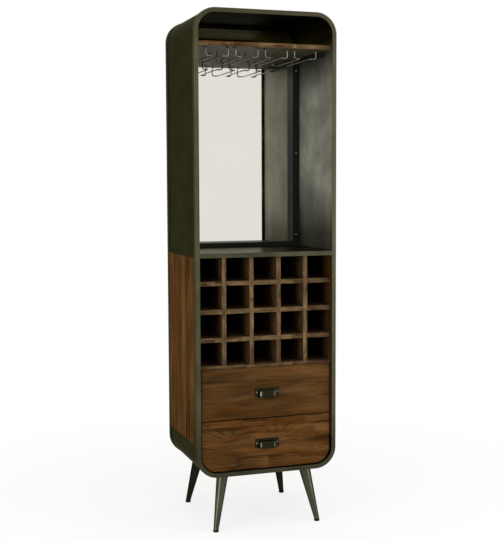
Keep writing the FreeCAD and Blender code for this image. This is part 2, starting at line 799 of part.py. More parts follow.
def make_drawer_side(label, box_low, left):
    """A drawer side, grooved on its inner face for the drawer bottom."""
    x_low = -box_half if left else box_half - S.box_thickness
    body = make_body(label, x_low, drawer_back, box_low)
    sketch = add_sketch(body, "XZ_Plane")
    height = drawer_height - box_rise - S.box_top_inset
    low = S.bottom_raise - S.lap_fit
    high = S.bottom_raise + S.bottom_thickness + S.lap_fit
    inner, web = (S.box_thickness, S.box_thickness - S.groove_depth) if left else (NIL, S.groove_depth)
    groove = [(inner, low), (web, low), (web, high), (inner, high)]
    bottom = [(NIL, NIL), (S.box_thickness, NIL)]
    top = [(S.box_thickness, height), (NIL, height)]
    outline(sketch, bottom + groove + top if left else bottom + top + groove[::-1])
    extrude(body, sketch, S.box_depth, backwards=True)
    return keep(body)


def make_drawer_box(name, bottom):
    """The sides, back and bottom behind a drawer front."""
    box_low = bottom + box_rise
    box_high = bottom + drawer_height - S.box_top_inset
    make_drawer_side(f"{name}_drawer_side_left", box_low, True)
    make_drawer_side(f"{name}_drawer_side_right", box_low, False)
    inner_half = box_half - S.box_thickness
    rear_end = drawer_back + S.box_depth
    panel_low = box_low + S.bottom_raise
    panel_high = panel_low + S.bottom_thickness
    lows = (-inner_half, rear_end - S.box_thickness, panel_high)
    make_board(f"{name}_drawer_back", lows, (inner_half, rear_end, box_high))
    panel_half_width = inner_half + S.groove_depth - S.lap_fit
    lows = (-panel_half_width, drawer_back, panel_low)
    make_board(f"{name}_drawer_bottom", lows, (panel_half_width, rear_end, panel_high))


def channel(name, y, z_middle, root, tip, height):
    """A length of channel with its web at root and its flanges reaching to tip, across the slide."""
    body = make_body(name, NIL, y, z_middle)
    sketch = add_sketch(body, "XZ_Plane")
    half = height / 2
    web = root - S.slide_sheet if root.value > tip.value else root + S.slide_sheet
    corners = [
        (root, -half),
        (root, half),
        (tip, half),
        (tip, half - S.slide_sheet),
        (web, half - S.slide_sheet),
        (web, S.slide_sheet - half),
        (tip, S.slide_sheet - half),
        (tip, -half),
    ]
    outline(sketch, corners)
    extrude(body, sketch, S.slide_length, backwards=True)
    return body


def strip(name, y, z_low, z_high, x_low):
    """A bearing strip that runs in a slide."""
    bar = doc.addObject("Part::Box", name)
    for side, size in zip(("Length", "Width", "Height"), (S.bearing_width, S.slide_length, z_high - z_low)):
        bar.setExpression(side, size.text)
    place(bar, x_low, y, z_low)
    return bar


def make_slides(name, bottom):
    """A pair of telescopic slides: cabinet, middle and drawer members with their bearing strips."""
    y = drawer_back + S.slide_start
    z_middle = bottom + S.slide_rise
    outer_tip = panel_half - S.outer_reach
    outer = channel(f"{name}_cabinet_member", y, z_middle, panel_half, outer_tip, S.slide_height)
    middle_root = panel_half - S.middle_gap
    middle_tip = middle_root - S.middle_reach
    middle = channel(f"{name}_middle_member", y, z_middle, middle_root, middle_tip, S.middle_height)
    inner = channel(f"{name}_drawer_member", y, z_middle, box_half, box_half + S.inner_reach, S.inner_height)
    make_group(f"{name}_slide_cabinet_members", [outer, mirror_copy(outer)])
    make_group(f"{name}_slide_middle_members", [middle, mirror_copy(middle)])
    make_group(f"{name}_slide_drawer_members", [inner, mirror_copy(inner)])
    strips = []
    outer_gap = (S.middle_height / 2, S.slide_height / 2 - S.slide_sheet - S.bearing_fit)
    inner_gap = (S.inner_height / 2 + S.bearing_fit, S.middle_height / 2 - S.slide_sheet)
    for place_name, gap in (("outer", outer_gap), ("inner", inner_gap)):
        low, high = gap
        x_low = middle_tip + S.slide_sheet
        strips.append(strip(f"{name}_{place_name}_strip_high", y, z_middle + low, z_middle + high, x_low))
        strips.append(strip(f"{name}_{place_name}_strip_low", y, z_middle - high, z_middle - low, x_low))
    make_group(f"{name}_slide_bearings", strips + [mirror_copy(bar) for bar in strips])


def cup_outline(inset):
    """The cup seen from above, its back on the plate and its ends rounded into its front."""
    half = S.cup_width / 2 - inset
    back = -S.pull_plate
    nose = inset - S.pull_plate - S.cup_projection
    radius = S.cup_end_radius - inset
    return ((-half, back), (-half, nose, radius), (half, nose, radius), (half, back))


def loft_cup(body, kind, height, inset):
    """The cup, or the hollow in it, from its rim up to its narrower top."""
    cup_low = -S.pull_height / 2
    rim = add_sketch(body, "XY_Plane", cup_low)
    outline(rim, cup_outline(inset))
    top = add_sketch(body, "XY_Plane", cup_low + height)
    outline(top, cup_outline(inset + S.cup_lean * height / S.cup_height))
    cup = body.newObject(f"PartDesign::{kind}", f"{body.Name}_{kind.lower()}")
    cup.Profile = rim
    cup.Sections = [top]
    cup.Ruled = True
    doc.recompute()


def make_pull(name, z_middle):
    """A cast cup pull: a hooded shell, open below, on a plate with a screw hole at each end."""
    body = make_body(f"{name}_pull", NIL, drawer_face, z_middle)
    loft_cup(body, "AdditiveLoft", S.cup_height, NIL)
    loft_cup(body, "SubtractiveLoft", S.cup_height - S.cup_wall, S.cup_wall)
    brim = end_face(body.Tip.Shape, "z", 1).Edges
    rounded = [edge for edge in brim if edge.CenterOfMass.y < -S.pull_plate.value - near]
    round_edges(body, rounded, S.cup_top_radius)
    plate = add_sketch(body, "XZ_Plane")
    plate_half = S.pull_width / 2
    rise = S.pull_height / 2
    outline(plate, rectangle(-plate_half, -rise, plate_half, rise, S.pull_radius, S.pull_radius))
    for _, side in SIDES:
        round_hole(plate, S.pull_screw_spacing * side / 2, NIL, S.screw_diameter / 2 + S.screw_fit)
    extrude(body, plate, S.pull_plate)
    return keep(body)


def turned(kind, name, heading, spot, sizes):
    """A round solid on a given axis, its foot at a spot and its sizes bound to the sheet."""
    solid = doc.addObject(kind, name)
    solid.Placement = FreeCAD.Placement(Vector(0, 0, 0), Rotation(Vector(0, 0, 1), heading))
    for property_name, size in sizes.items():
        solid.setExpression(property_name, size.text)
    place(solid, *spot)
    return solid


def make_screw(name, spot):
    """A screw from the front: its head rests on the face at the spot and its shank runs in from there."""
    head_sizes = {
        "Radius1": S.screw_head_diameter / 2,
        "Radius2": S.screw_diameter / 2,
        "Height": S.screw_head_height,
    }
    shank_sizes = {"Radius": S.screw_diameter / 2, "Height": S.pull_plate}
    screw = doc.addObject("Part::Fuse", name)
    screw.Base = turned("Part::Cone", f"{name}_head", Vector(0, -1, 0), spot, head_sizes)
    screw.Tool = turned("Part::Cylinder", f"{name}_shank", Vector(0, 1, 0), spot, shank_sizes)
    return screw


def make_drawer(name, rounded):
    """One drawer with its front, box, pull and slides."""
    bottom = drawer_bottoms[name]
    make_drawer_front(f"{name}_drawer_front", bottom, rounded)
    make_drawer_box(name, bottom)
    make_slides(name, bottom)
    z_middle = bottom + drawer_height / 2 + S.pull_rise
    make_pull(name, z_middle)
    screws = []
    for side_name, side in SIDES:
        spot = (S.pull_screw_spacing * side / 2, drawer_face - S.pull_plate, z_middle)
        screws.append(make_screw(f"{name}_pull_screw_{side_name}", spot))
    make_group(f"{name}_pull_screws", screws)


# Legs


def leg_corners():
    """Name, side and end of each leg: -1 is left or front, 1 is right or back."""
    for end_name, end in ENDS:
        for side_name, side in SIDES:
            yield f"{end_name}_{side_name}", side, end


def foot_spot(side, end):
    """Middle of a foot on the floor."""
    middle_y = (front + rear) / 2
    return (half_width - S.foot_side_inset) * side, middle_y + (S.depth / 2 - S.foot_end_inset) * end


def leg_top_spot(side, end):
    """Middle of a leg where it meets its plate."""
    x, y = foot_spot(side, end)
    return x - S.leg_splay * side, y - S.leg_splay * end


def plate_spot(side, end):
    """Middle of a leg's plate, which lies against the inside of the frame's angle."""
    x, y = leg_top_spot(side, end)
    middle_y = (front + rear) / 2
    reach = S.depth / 2 - S.angle_depth - S.sheet_fit - S.plate_size / 2
    return x, middle_y + reach * end


def bolt_spots(side, end):
    """Middles of the four bolts in a leg's plate."""
    x, y = plate_spot(side, end)
    reach = S.plate_size / 2 - S.bolt_inset
    return [(x + reach * across, y + reach * along) for across in (-1, 1) for along in (-1, 1)]


def make_leg(label, side, end):
    """A tapered round leg that leans outwards, cut level at its foot cap and its plate."""
    rise = plate_under - S.cap_height
    length = (rise.squared() + S.leg_splay.squared() * 2).root()
    reach = S.leg_top_diameter
    taper = (S.leg_top_diameter - S.leg_foot_diameter) * reach / length / 2
    foot_x, foot_y = foot_spot(side, end)
    cone = doc.addObject("Part::Cone", f"{label}_cone")
    lean_axis = Vector(end, -side, 0)
    cone.Placement = FreeCAD.Placement(Vector(0, 0, 0), Rotation(lean_axis, 1))
    sizes = {
        "Radius1": S.leg_foot_diameter / 2 - taper * FOOT_OVERRUN_SHARE,
        "Radius2": S.leg_top_diameter / 2 + taper,
        "Height": length + reach * (1 + FOOT_OVERRUN_SHARE),
        "Placement.Rotation.Angle": (S.leg_splay * math.sqrt(2) / rise).lean(),
    }
    for name, size in sizes.items():
        cone.setExpression(name, size.text)
    below = reach * FOOT_OVERRUN_SHARE / length
    outward = S.leg_splay * below
    place(cone, foot_x + outward * side, foot_y + outward * end, S.cap_height - rise * below)
    slab = doc.addObject("Part::Box", f"{label}_slab")
    span = (S.leg_splay + S.leg_top_diameter) * 2
    for name, size in (("Length", span), ("Width", span), ("Height", rise)):
        slab.setExpression(name, size.text)
    top_x, top_y = leg_top_spot(side, end)
    place(slab, top_x - span / 2, top_y - span / 2, S.cap_height)
    leg = doc.addObject("Part::Common", label)
    leg.Base = cone
    leg.Tool = slab
    return leg


def make_legs():
    """Tapered, splayed legs with plates, bolts and foot caps."""
    plates, bolts, caps = [], [], []
    for corner, side, end in leg_corners():
        keep(make_leg(f"leg_{corner}", side, end))

        x, y = plate_spot(side, end)
        plate = make_body(f"plate_{corner}", NIL, NIL, plate_under)
        sketch = add_sketch(plate, "XY_Plane")
        half = S.plate_size / 2
        outline(sketch, rectangle(x - half, y - half, x + half, y + half, S.plate_radius, S.plate_radius))
        for bolt_x, bolt_y in bolt_spots(side, end):
            round_hole(sketch, bolt_x, bolt_y, S.bolt_diameter / 2 + S.screw_fit)
        extrude(plate, sketch, S.plate_thickness)
        plates.append(plate)

        for index, (bolt_x, bolt_y) in enumerate(bolt_spots(side, end)):
            bolts.append(make_bolt(f"bolt_{corner}_{index}", bolt_x, bolt_y))

        cap = make_body(f"cap_{corner}")
        sketch = add_sketch(cap, "XY_Plane")
        round_hole(sketch, *foot_spot(side, end), S.cap_diameter / 2)
        extrude(cap, sketch, S.cap_height)
        round_edges(cap, end_face(cap.Tip.Shape, "z", -1).Edges, S.cap_edge_radius)
        caps.append(cap)
    make_group("leg_plates", plates)
    make_group("leg_bolts", bolts)
    make_group("foot_caps", caps)


def make_bolt(name, x, y):
    """A six-sided bolt head under the plate, with its shank in the plate's hole."""
    head = doc.addObject("Part::Prism", f"{name}_head")
    head.Polygon = HEX_SIDES
    head.setExpression("Circumradius", S.bolt_head_radius.text)
    head.setExpression("Height", S.bolt_head_height.text)
    place(head, x, y, plate_under - S.bolt_head_height)
    shank = doc.addObject("Part::Cylinder", f"{name}_shank")
    shank.setExpression("Radius", (S.bolt_diameter / 2).text)
    shank.setExpression("Height", S.plate_thickness.text)
    place(shank, x, y, plate_under)
    bolt = doc.addObject("Part::Fuse", name)
    bolt.Base = head
    bolt.Tool = shank
    return bolt


def check_document():
    """Stop if an object failed, a cut took nothing away or a sub-part has no sound shape."""
    doc.recompute()
    for thing in doc.Objects:
        if {"Invalid", "Error"} & set(thing.State):
            raise RuntimeError(f"{thing.Label} failed: {thing.State}")
        if thing.TypeId == "PartDesign::Pocket":
            if thing.Shape.Volume >= thing.BaseFeature.Shape.Volume:
                raise RuntimeError(f"{thing.Label} cuts nothing")
    for part in parts:
        if part.Shape.isNull() or not part.Shape.isValid() or not part.Shape.Solids:
            raise RuntimeError(f"{part.Label} has no sound shape")


def write_parts():
    """Write each sub-part to a file of its own name."""
    os.makedirs("parts", exist_ok=True)
    for part in parts:
        part.Shape.exportStep(f"parts/{part.Label}.step")


def main():
    make_frame("front_frame", front, True)
    make_frame("rear_frame", rear, False)
    make_skin("top_cover", counter_top, skin_top, "high")
    make_skin("bottom_tray", panel_bottom, skin_bottom, "low")
    make_side_panel("side_panel_left", True)
    make_side_panel("side_panel_right", False)
    make_counter()
    make_counter_core()
    make_back("upper_back_panel", counter_top, ceiling - S.sheet_fit, None, wall_radius - S.sheet_fit)
    make_back("lower_back_panel", floor_in + S.sheet_fit, counter_under, wall_radius - S.sheet_fit, None)
    make_mirror()
    make_stile("mirror_stile_left", True)
    make_stile("mirror_stile_right", False)
    make_mirror_rail()
    make_stemware_shelf()
    make_cleats()
    make_racks()
    make_lattice()
    make_drawer("upper", False)
    make_drawer("lower", True)
    make_legs()
    check_document()
    write_parts()


main()
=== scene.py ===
import json
import math

import bmesh
import bpy
from mathutils import Matrix, Vector


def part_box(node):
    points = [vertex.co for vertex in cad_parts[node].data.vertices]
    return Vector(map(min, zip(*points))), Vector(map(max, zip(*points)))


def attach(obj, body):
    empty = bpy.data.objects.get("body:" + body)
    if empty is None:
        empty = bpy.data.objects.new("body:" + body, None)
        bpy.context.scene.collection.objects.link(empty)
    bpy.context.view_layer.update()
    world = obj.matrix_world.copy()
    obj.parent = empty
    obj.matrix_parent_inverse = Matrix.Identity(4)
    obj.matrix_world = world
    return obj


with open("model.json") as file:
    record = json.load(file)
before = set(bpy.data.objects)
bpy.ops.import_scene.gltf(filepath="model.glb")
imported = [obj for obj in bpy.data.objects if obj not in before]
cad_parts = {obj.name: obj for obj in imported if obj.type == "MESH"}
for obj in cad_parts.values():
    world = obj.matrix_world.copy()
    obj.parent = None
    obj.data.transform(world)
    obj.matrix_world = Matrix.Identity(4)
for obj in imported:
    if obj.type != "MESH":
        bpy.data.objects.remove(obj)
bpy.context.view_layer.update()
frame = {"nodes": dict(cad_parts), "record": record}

bl_info = {
    "name": "Bar cabinet",
    "version": (1, 0, 0),
    "blender": (4, 5, 0),
    "location": "View3D > Sidebar > Cabinet",
    "description": "Finishes, small fasteners and stage for a steel and walnut bar cabinet",
    "category": "Object",
}

MM = 0.001
X, Y, Z = 0, 1, 2
# Kinds of node that come often. A Mix node's inputs 0, 6 and 7 are the share and the two colours,
# and its output 2 is the mixed colour.
MATH = "ShaderNodeMath"
VECTOR = "ShaderNodeVectorMath"
NOISE = "ShaderNodeTexNoise"
RANDOM = "ShaderNodeTexWhiteNoise"
MIX = "ShaderNodeMix"
RANGE = "ShaderNodeMapRange"
COMBINE = "ShaderNodeCombineXYZ"
SPLIT = "ShaderNodeSeparateXYZ"

SLOTS = {row["node"]: row["material_slot"] for row in frame["record"]["subparts"]}
DRAWERS = ("upper", "lower")
SHELL_NODES = ("top_cover", "bottom_tray")
FRAME_NODES = ("front_frame", "rear_frame")
SIDE_PANELS = ("side_panel_left", "side_panel_right")
BACK_PANELS = ("upper_back_panel", "lower_back_panel")
DIVIDERS = ("wine_divider_1", "wine_divider_2", "wine_divider_3", "wine_divider_4")
BRACKETED_DIVIDERS = ("wine_divider_1", "wine_divider_4")
WINE_SHELVES = ("wine_base_board", "wine_shelf_1", "wine_shelf_2", "wine_shelf_3")
RACKS = ("stem_rack_1", "stem_rack_2", "stem_rack_3", "stem_rack_4")
STILES = ("mirror_stile_left", "mirror_stile_right")
LEGS = ("leg_front_left", "leg_front_right", "leg_rear_left", "leg_rear_right")

# Sizes of the CAD model that the finishes and the screws follow.
SHEET_BEND = 85.2 * MM
SHEET_THICKNESS = 1.5 * MM
RACK_TAB_WIDTH = 11 * MM
RACK_TAB_THICKNESS = 2 * MM
RACK_END_TO_SCREW = 28.5 * MM
# The brackets stand this far behind the dividers' front edge, with edges rounded by this much.
BRACKET_INSET = 14 * MM
BRACKET_EDGE = 0.4 * MM

# Painted light: the sheet's inner side is painted pale, and painted shade darkens it near the roof, the
# mouth and the counter. It grows pale between two distances below the roof, two places from front to back
# behind the mouth, and two distances above the counter.
PALE_BELOW_ROOF = (90 * MM, 330 * MM)
PALE_BEHIND_MOUTH = (-230 * MM, 60 * MM)
PALE_ABOVE_COUNTER = (70 * MM, 310 * MM)
# Painted shade: the frames grow dark between two distances above their foot and two below their top.
DARK_ABOVE_FOOT = (275 * MM, 85 * MM)
DARK_BELOW_TOP = (250 * MM, 20 * MM)

# Patterns of the wood: length along the grain and width across it, in millimetres. Real fibres
# are a fraction of a millimetre wide; these are drawn coarse enough to show.
BENDS_MM = (170, 55)
STREAKS_MM = (460, 12)
SWELL_MM = (420, 95)
FIBRES_MM = (150, 2.6)
GRAIN_WANDER = 34 * MM
HALF_GLUE_LINE = 0.5 * MM
# How fully the painted shade's tone covers the wood where its mask is whole.
PAINTED_SHADE_COVER = 0.93
# Share of the light tone in the darkest and the palest stave, and how much of the redness is each
# block's own and how much comes in patches.
STAVE_TONES = (0.26, 0.56)
RED_BY_BLOCK, RED_BY_PATCH = 0.3, 1.6
# Tint of the oil's sheen.
OIL_SHEEN = "CEB18B"
# Brushed lines in steel are this many times longer than wide.
BRUSH_STRETCH = 70
# Noise keeps mostly between these values.
NOISE_LOW, NOISE_HIGH = 0.3, 0.7

# Patches and eyes of the drawer fronts, in millimetres: place right of the middle and below the
# top, reach along and across the grain, and the lift of a patch's tone or the rings of an eye.
UPPER_PATCHES = (
    (20, 70, 200, 20, -0.3),
    (-80, 180, 260, 40, -0.16),
    (190, 115, 110, 36, 0.24),
    (130, 26, 200, 28, 0.7),
    (-240, 165, 90, 40, -0.25),
    # Painted shade: a dark band at the front's right end, beside the frame.
    (296, 100, 26, 300, -0.3),
)
LOWER_PATCHES = (
    (150, 46, 150, 14, 0.34),
    (-140, 142, 80, 14, -0.14),
    (20, 178, 90, 18, 0.3),
    (60, 102, 260, 18, -0.2),
    (60, 128, 110, 14, 0.2),
    (-40, 14, 110, 18, -0.36),
    # Painted shade: a dark band at the front's right end, beside the frame.
    (296, 90, 26, 300, -0.35),
)
LOWER_EYES = (
    (-66, 70, 165, 37, 4.6),
    (200, 112, 75, 32, 3.6),
)

# A screw head's straight rim, each of the two steps of its dome, and its socket, as shares of its
# rise.
RIM_SHARE, DOME_SHARE, SOCKET_SHARE = 0.8, 0.3, 0.7
SCREW_SIDES = 18

# The stage, in metres and degrees. The floor is at its darkest glow up to the first distance from
# the middle and plain white from the second. Each lamp has a name, the setting of its power, a
# place and a size. The view has its turn to the right, its tilt down and its roll.
FLOOR_REACH = 14
FLOOR_DROP = 0.0002
FLOOR_CLEARS = (0.45, 2.2)
FLOOR_GLOW = 0.78
LAMP_AIM = (0, 0, 1.05)
LAMPS = (
    ("key_lamp", "key", (-0.6, -4.4, 3.0), (2.4, 1.8)),
    ("left_strip", "left", (-2.4, -1.7, 1.25), (1.1, 2.4)),
    ("right_strip", "right", (2.5, -2.75, 1.4), (0.8, 2.6)),
    ("top_lamp", "top", (0.2, -0.4, 4.6), (2.4, 2.4)),
)
VIEW_PLACE = (-1.4135, -4.21265, 1.4062)
VIEW_ANGLES = (18.547, 4.676, -0.226)
VIEW_LENS_MM = 70.293
VIEW_SENSOR_MM = 36


def linear(hex_colour):
    """The linear colour of an sRGB hex value such as 4E361D."""
    channels = [int(hex_colour[at:at + 2], 16) / 255 for at in (0, 2, 4)]
    return tuple(c / 12.92 if c <= 0.04045 else ((c + 0.055) / 1.055) ** 2.4 for c in channels)


def add(tree, kind, inputs=None, out=0, **settings):
    """Adds a node with its settings and gives the output that is named, or all of them for None.

    Each input takes a value or the socket that feeds it.
    """
    made = tree.nodes.new(kind)
    for name, value in settings.items():
        setattr(made, name, value)
    for key, value in (inputs or {}).items():
        if isinstance(value, bpy.types.NodeSocket):
            tree.links.new(value, made.inputs[key])
        else:
            made.inputs[key].default_value = value
    return made.outputs if out is None else made.outputs[out]


def colour(name, description, hex_colour):
    """A setting that holds a colour."""
    return bpy.props.FloatVectorProperty(
        name=name, description=description, default=linear(hex_colour), subtype="COLOR",
        min=0, max=1)


def length(name, description, millimetres):
    """A setting that holds a length."""
    return bpy.props.FloatProperty(
        name=name, description=description, default=millimetres * MM, min=0.01 * MM,
        subtype="DISTANCE", unit="LENGTH", precision=5)


def power(name, description, watts):
    """A setting that holds a lamp's power."""
    return bpy.props.FloatProperty(
        name=name, description=description, default=watts, min=0, unit="POWER")


class WalnutFinish(bpy.types.PropertyGroup):
    """Colours and stave sizes of the wooden pieces."""
    dark: colour("Dark tone", "Darkest streaks of the oiled walnut", "21180C")
    light: colour("Light tone", "Palest streaks of the oiled walnut", "6A4B29")
    red: colour("Red tone", "Reddish patches of the oiled walnut", "56300C")
    upright_dark: colour("Dark divider tone", "Darkest streaks of the lattice dividers", "3D3120")
    upright_light: colour("Light divider tone", "Palest streaks of the lattice dividers", "796241")
    taupe: colour("Lattice red tone", "Reddish patches of the lattice boards", "5B4030")
    level_dark: colour("Dark shelf tone", "Darkest streaks of the lattice shelves", "2B2115")
    level_light: colour("Light shelf tone", "Palest streaks of the lattice shelves", "6A563A")
    box_dark: colour("Dark box tone", "Darkest streaks of the drawer boxes", "8A6A45")
    box_light: colour("Light box tone", "Palest streaks of the drawer boxes", "BE9A6C")
    back_dark: colour("Dark back tone", "Darkest streaks of the back panels", "20180F")
    back_light: colour("Light back tone", "Palest streaks of the back panels", "33271A")
    # Painted shade: a dark tone deep inside the lattice cells.
    cell_painted_shade: colour("Cell stain", "Dark stain on the boards deep inside the cells", "1A0E05")
    # Painted shade: a grey tone under the stemware shelf.
    underside_painted_shade: colour("Underside stain", "Grey stain under the stemware shelf", "4A4836")
    side_stave: length("Side stave", "Width of the staves of the side panels", 58)
    front_stave: length("Front stave", "Height of the staves of the upper drawer front", 78)
    wide_board: length("Wide board", "Height of the wide board of the lower drawer front", 127)
    short_block: length("Short block", "Length of the blocks above and below the wide board", 138)
    ring: length("Growth ring", "Width of one growth ring where the grain runs straight", 9)
    flat_ring: length("Flat-sawn ring", "Width of one growth ring on the wide board", 15)


class SteelFinish(bpy.types.PropertyGroup):
    """Colours and surface sizes of the steel pieces."""
    shell_dark: colour("Shell, dark", "Dark clouds of the outer sheet steel", "25241B")
    shell_light: colour("Shell, light", "Pale clouds of the outer sheet steel", "35342A")
    # Painted light: pale tones that make the inner side of the sheet steel lighter than its outside.
    inside_dark: colour("Inside, dark", "Dark clouds on the inner side of the sheet steel", "969689")
    inside_light: colour("Inside, light", "Pale clouds on the inner side of the sheet steel", "CACABD")
    frame_dark: colour("Frame, dark", "Dark clouds of the two frames", "3E3B2C")
    frame_light: colour("Frame, light", "Pale clouds of the two frames", "504D3C")
    # Painted shade at the frames' foot and top.
    shaded_dark: colour("Frame ends, dark", "Dark clouds at the frames' shaded ends", "302E21")
    shaded_light: colour("Frame ends, light", "Pale clouds at the frames' shaded ends", "403E2D")
    counter_dark: colour("Counter, dark", "Dark clouds of the counter", "323123")
    counter_light: colour("Counter, light", "Pale clouds of the counter", "504F3E")
    leg_dark: colour("Leg, dark", "Dark clouds of the legs", "343327")
    leg_light: colour("Leg, light", "Pale clouds of the legs", "4F4D3F")
    wire_dark: colour("Wire, dark", "Dark clouds of the rack wires", "57554C")
    wire_light: colour("Wire, light", "Pale clouds of the rack wires", "7E7C72")
    iron_dark: colour("Pull, dark", "Dark clouds of the cast pulls", "1C1B11")
    iron_light: colour("Pull, light", "Pale clouds of the cast pulls", "302E20")
    # Painted highlights: a bright tone for the glints at the ends of the pulls' cups.
    iron_painted_glint: colour("Pull, worn", "Bright metal where hands have rubbed the pulls", "969385")
    zinc_dark: colour("Zinc, dark", "Dark spangles of the zinc plating", "8D9093")
    zinc_light: colour("Zinc, light", "Pale spangles of the zinc plating", "B9BCBE")
    cloud: length("Cloud", "Size of the clouds in the patina", 140)
    brush: length("Brush line", "Width of the brushed lines, drawn coarse enough to show", 2.5)


class SmallParts(bpy.types.PropertyGroup):
    """Coats and sizes of the small pieces."""
    coat: colour("Black coat", "Powder coat of the mirror's stiles and the cleats", "1B1B16")
    glass: colour("Mirror", "Silvered mirror", "E4E1D8")
    cap: colour("Foot cap", "Moulded foot caps", "101010")
    bearing: colour("Bearing", "Moulded bearing strips of the slides", "D8D6CE")
    screw_head: length("Screw head", "Diameter of the small panel screws", 7)
    screw_rise: length("Screw rise", "Height of the small panel screws' heads", 1.6)
    bracket_leg: length("Bracket leg", "Length of each leg of the divider brackets", 22)
    bracket_width: length("Bracket width", "Width of the divider brackets", 16)
    bracket_sheet: length("Bracket sheet", "Thickness of the divider brackets", 2)


class StageSettings(bpy.types.PropertyGroup):
    """Floor, lamps and ambient light."""
    floor: colour("Floor", "Pale studio floor", "F4F3F0")
    ambient: bpy.props.FloatProperty(
        name="Ambient", description="Strength of the soft light from all round", default=0.6, min=0)
    key: power("Key", "Power of the lamp at the front", 35)
    left: power("Left strip", "Power of the tall lamp at the left", 36)
    right: power("Right strip", "Power of the tall lamp at the right", 47)
    top: power("Top", "Power of the lamp overhead", 60)


def start_material(name):
    """A new node material, its tree, its shader and its Object coordinates."""
    material = bpy.data.materials.new(name)
    material.use_nodes = True
    tree = material.node_tree
    shader = tree.nodes["Principled BSDF"]
    place = add(tree, "ShaderNodeTexCoord", out="Object")
    return material, tree, shader, place


def dress(material, *nodes):
    """Puts the material on each of the CAD nodes."""
    for node in nodes:
        mesh = frame["nodes"][node].data
        mesh.materials.clear()
        mesh.materials.append(material)


def beyond(axis, start, end, fold=False, first=0.0, sudden=False):
    """A mask that grows to 1 between two places along an axis, or along both its halves.

    It grows from the first value, which it also has before the start unless it begins there suddenly.
    """
    def mask(tree, place):
        away = add(tree, SPLIT, {0: place}, out=axis)
        if fold:
            away = add(tree, MATH, {0: away}, operation="ABSOLUTE")
        shown = add(tree, RANGE, {"Value": away, "From Min": start, "From Max": end, "To Min": first})
        if sudden:
            step = add(tree, MATH, {0: away, 1: start}, operation="GREATER_THAN")
            shown = add(tree, MATH, {0: shown, 1: step}, operation="MULTIPLY")
        return shown
    return mask


def overlap(*masks, operation="MULTIPLY"):
    """A mask that shows where all of these do: their product, or the least of them."""
    def mask(tree, place):
        shown = 1.0
        for each in masks:
            shown = add(tree, MATH, {0: each(tree, place), 1: shown}, operation=operation)
        return shown
    return mask


def deep_in_cells(front):
    """A mask of painted shade on the lattice behind its front edges, which grows towards the back of the
    cells.
    """
    return beyond(Y, front + 1 * MM, front + 190 * MM, first=0.5, sudden=True)


def inner_painted_light(tree, place):
    """A mask of painted light on the sheet's inner side, which fades into painted shade near the roof, the
    mouth and the counter.
    """
    low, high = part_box("bottom_tray")[0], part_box("top_cover")[1]
    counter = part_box("counter_shelf")[1].z
    middle = (low.z + high.z) / 2
    axes = add(tree, SPLIT, {0: place}, out=None)
    past = []
    for axis, centre, half in ((axes[X], 0, high.x), (axes[Z], middle, high.z - middle)):
        away = add(tree, MATH, {0: axis, 1: centre}, operation="SUBTRACT")
        away = add(tree, MATH, {0: away}, operation="ABSOLUTE")
        away = add(tree, MATH, {0: away, 1: half - SHEET_BEND}, operation="SUBTRACT")
        past.append(add(tree, MATH, {0: away, 1: 0}, operation="MAXIMUM"))
    corner = add(tree, COMBINE, {0: past[0], 1: past[1]})
    reach = add(tree, VECTOR, {0: corner}, out="Value", operation="LENGTH")
    inner = add(tree, MATH, {0: reach, 1: SHEET_BEND - SHEET_THICKNESS / 2}, operation="LESS_THAN")
    lit = overlap(beyond(Z, *(high.z - down for down in PALE_BELOW_ROOF)),
                  beyond(Y, *PALE_BEHIND_MOUTH, first=0.7),
                  beyond(Z, *(counter + up for up in PALE_ABOVE_COUNTER), first=0.2),
                  operation="MINIMUM")
    return add(tree, MATH, {0: lit(tree, place), 1: inner}, operation="MULTIPLY")


def frame_painted_shade(tree, place):
    """A mask of painted shade at the frames' ends: their foot, and more faintly their top."""
    low, high = (corner.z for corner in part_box("front_frame"))
    foot = beyond(Z, *(low + up for up in DARK_ABOVE_FOOT))(tree, place)
    roof = beyond(Z, *(high - down for down in DARK_BELOW_TOP))(tree, place)
    faint = add(tree, MATH, {0: roof, 1: 0.6}, operation="MULTIPLY")
    return add(tree, MATH, {0: foot, 1: faint}, operation="MAXIMUM")


def per_metre(long_mm, wide_mm):
    """How many spots of this length and width a metre holds, along the grain and two ways across."""
    return (1 / (long_mm * MM), 1 / (wide_mm * MM), 1 / (wide_mm * MM))


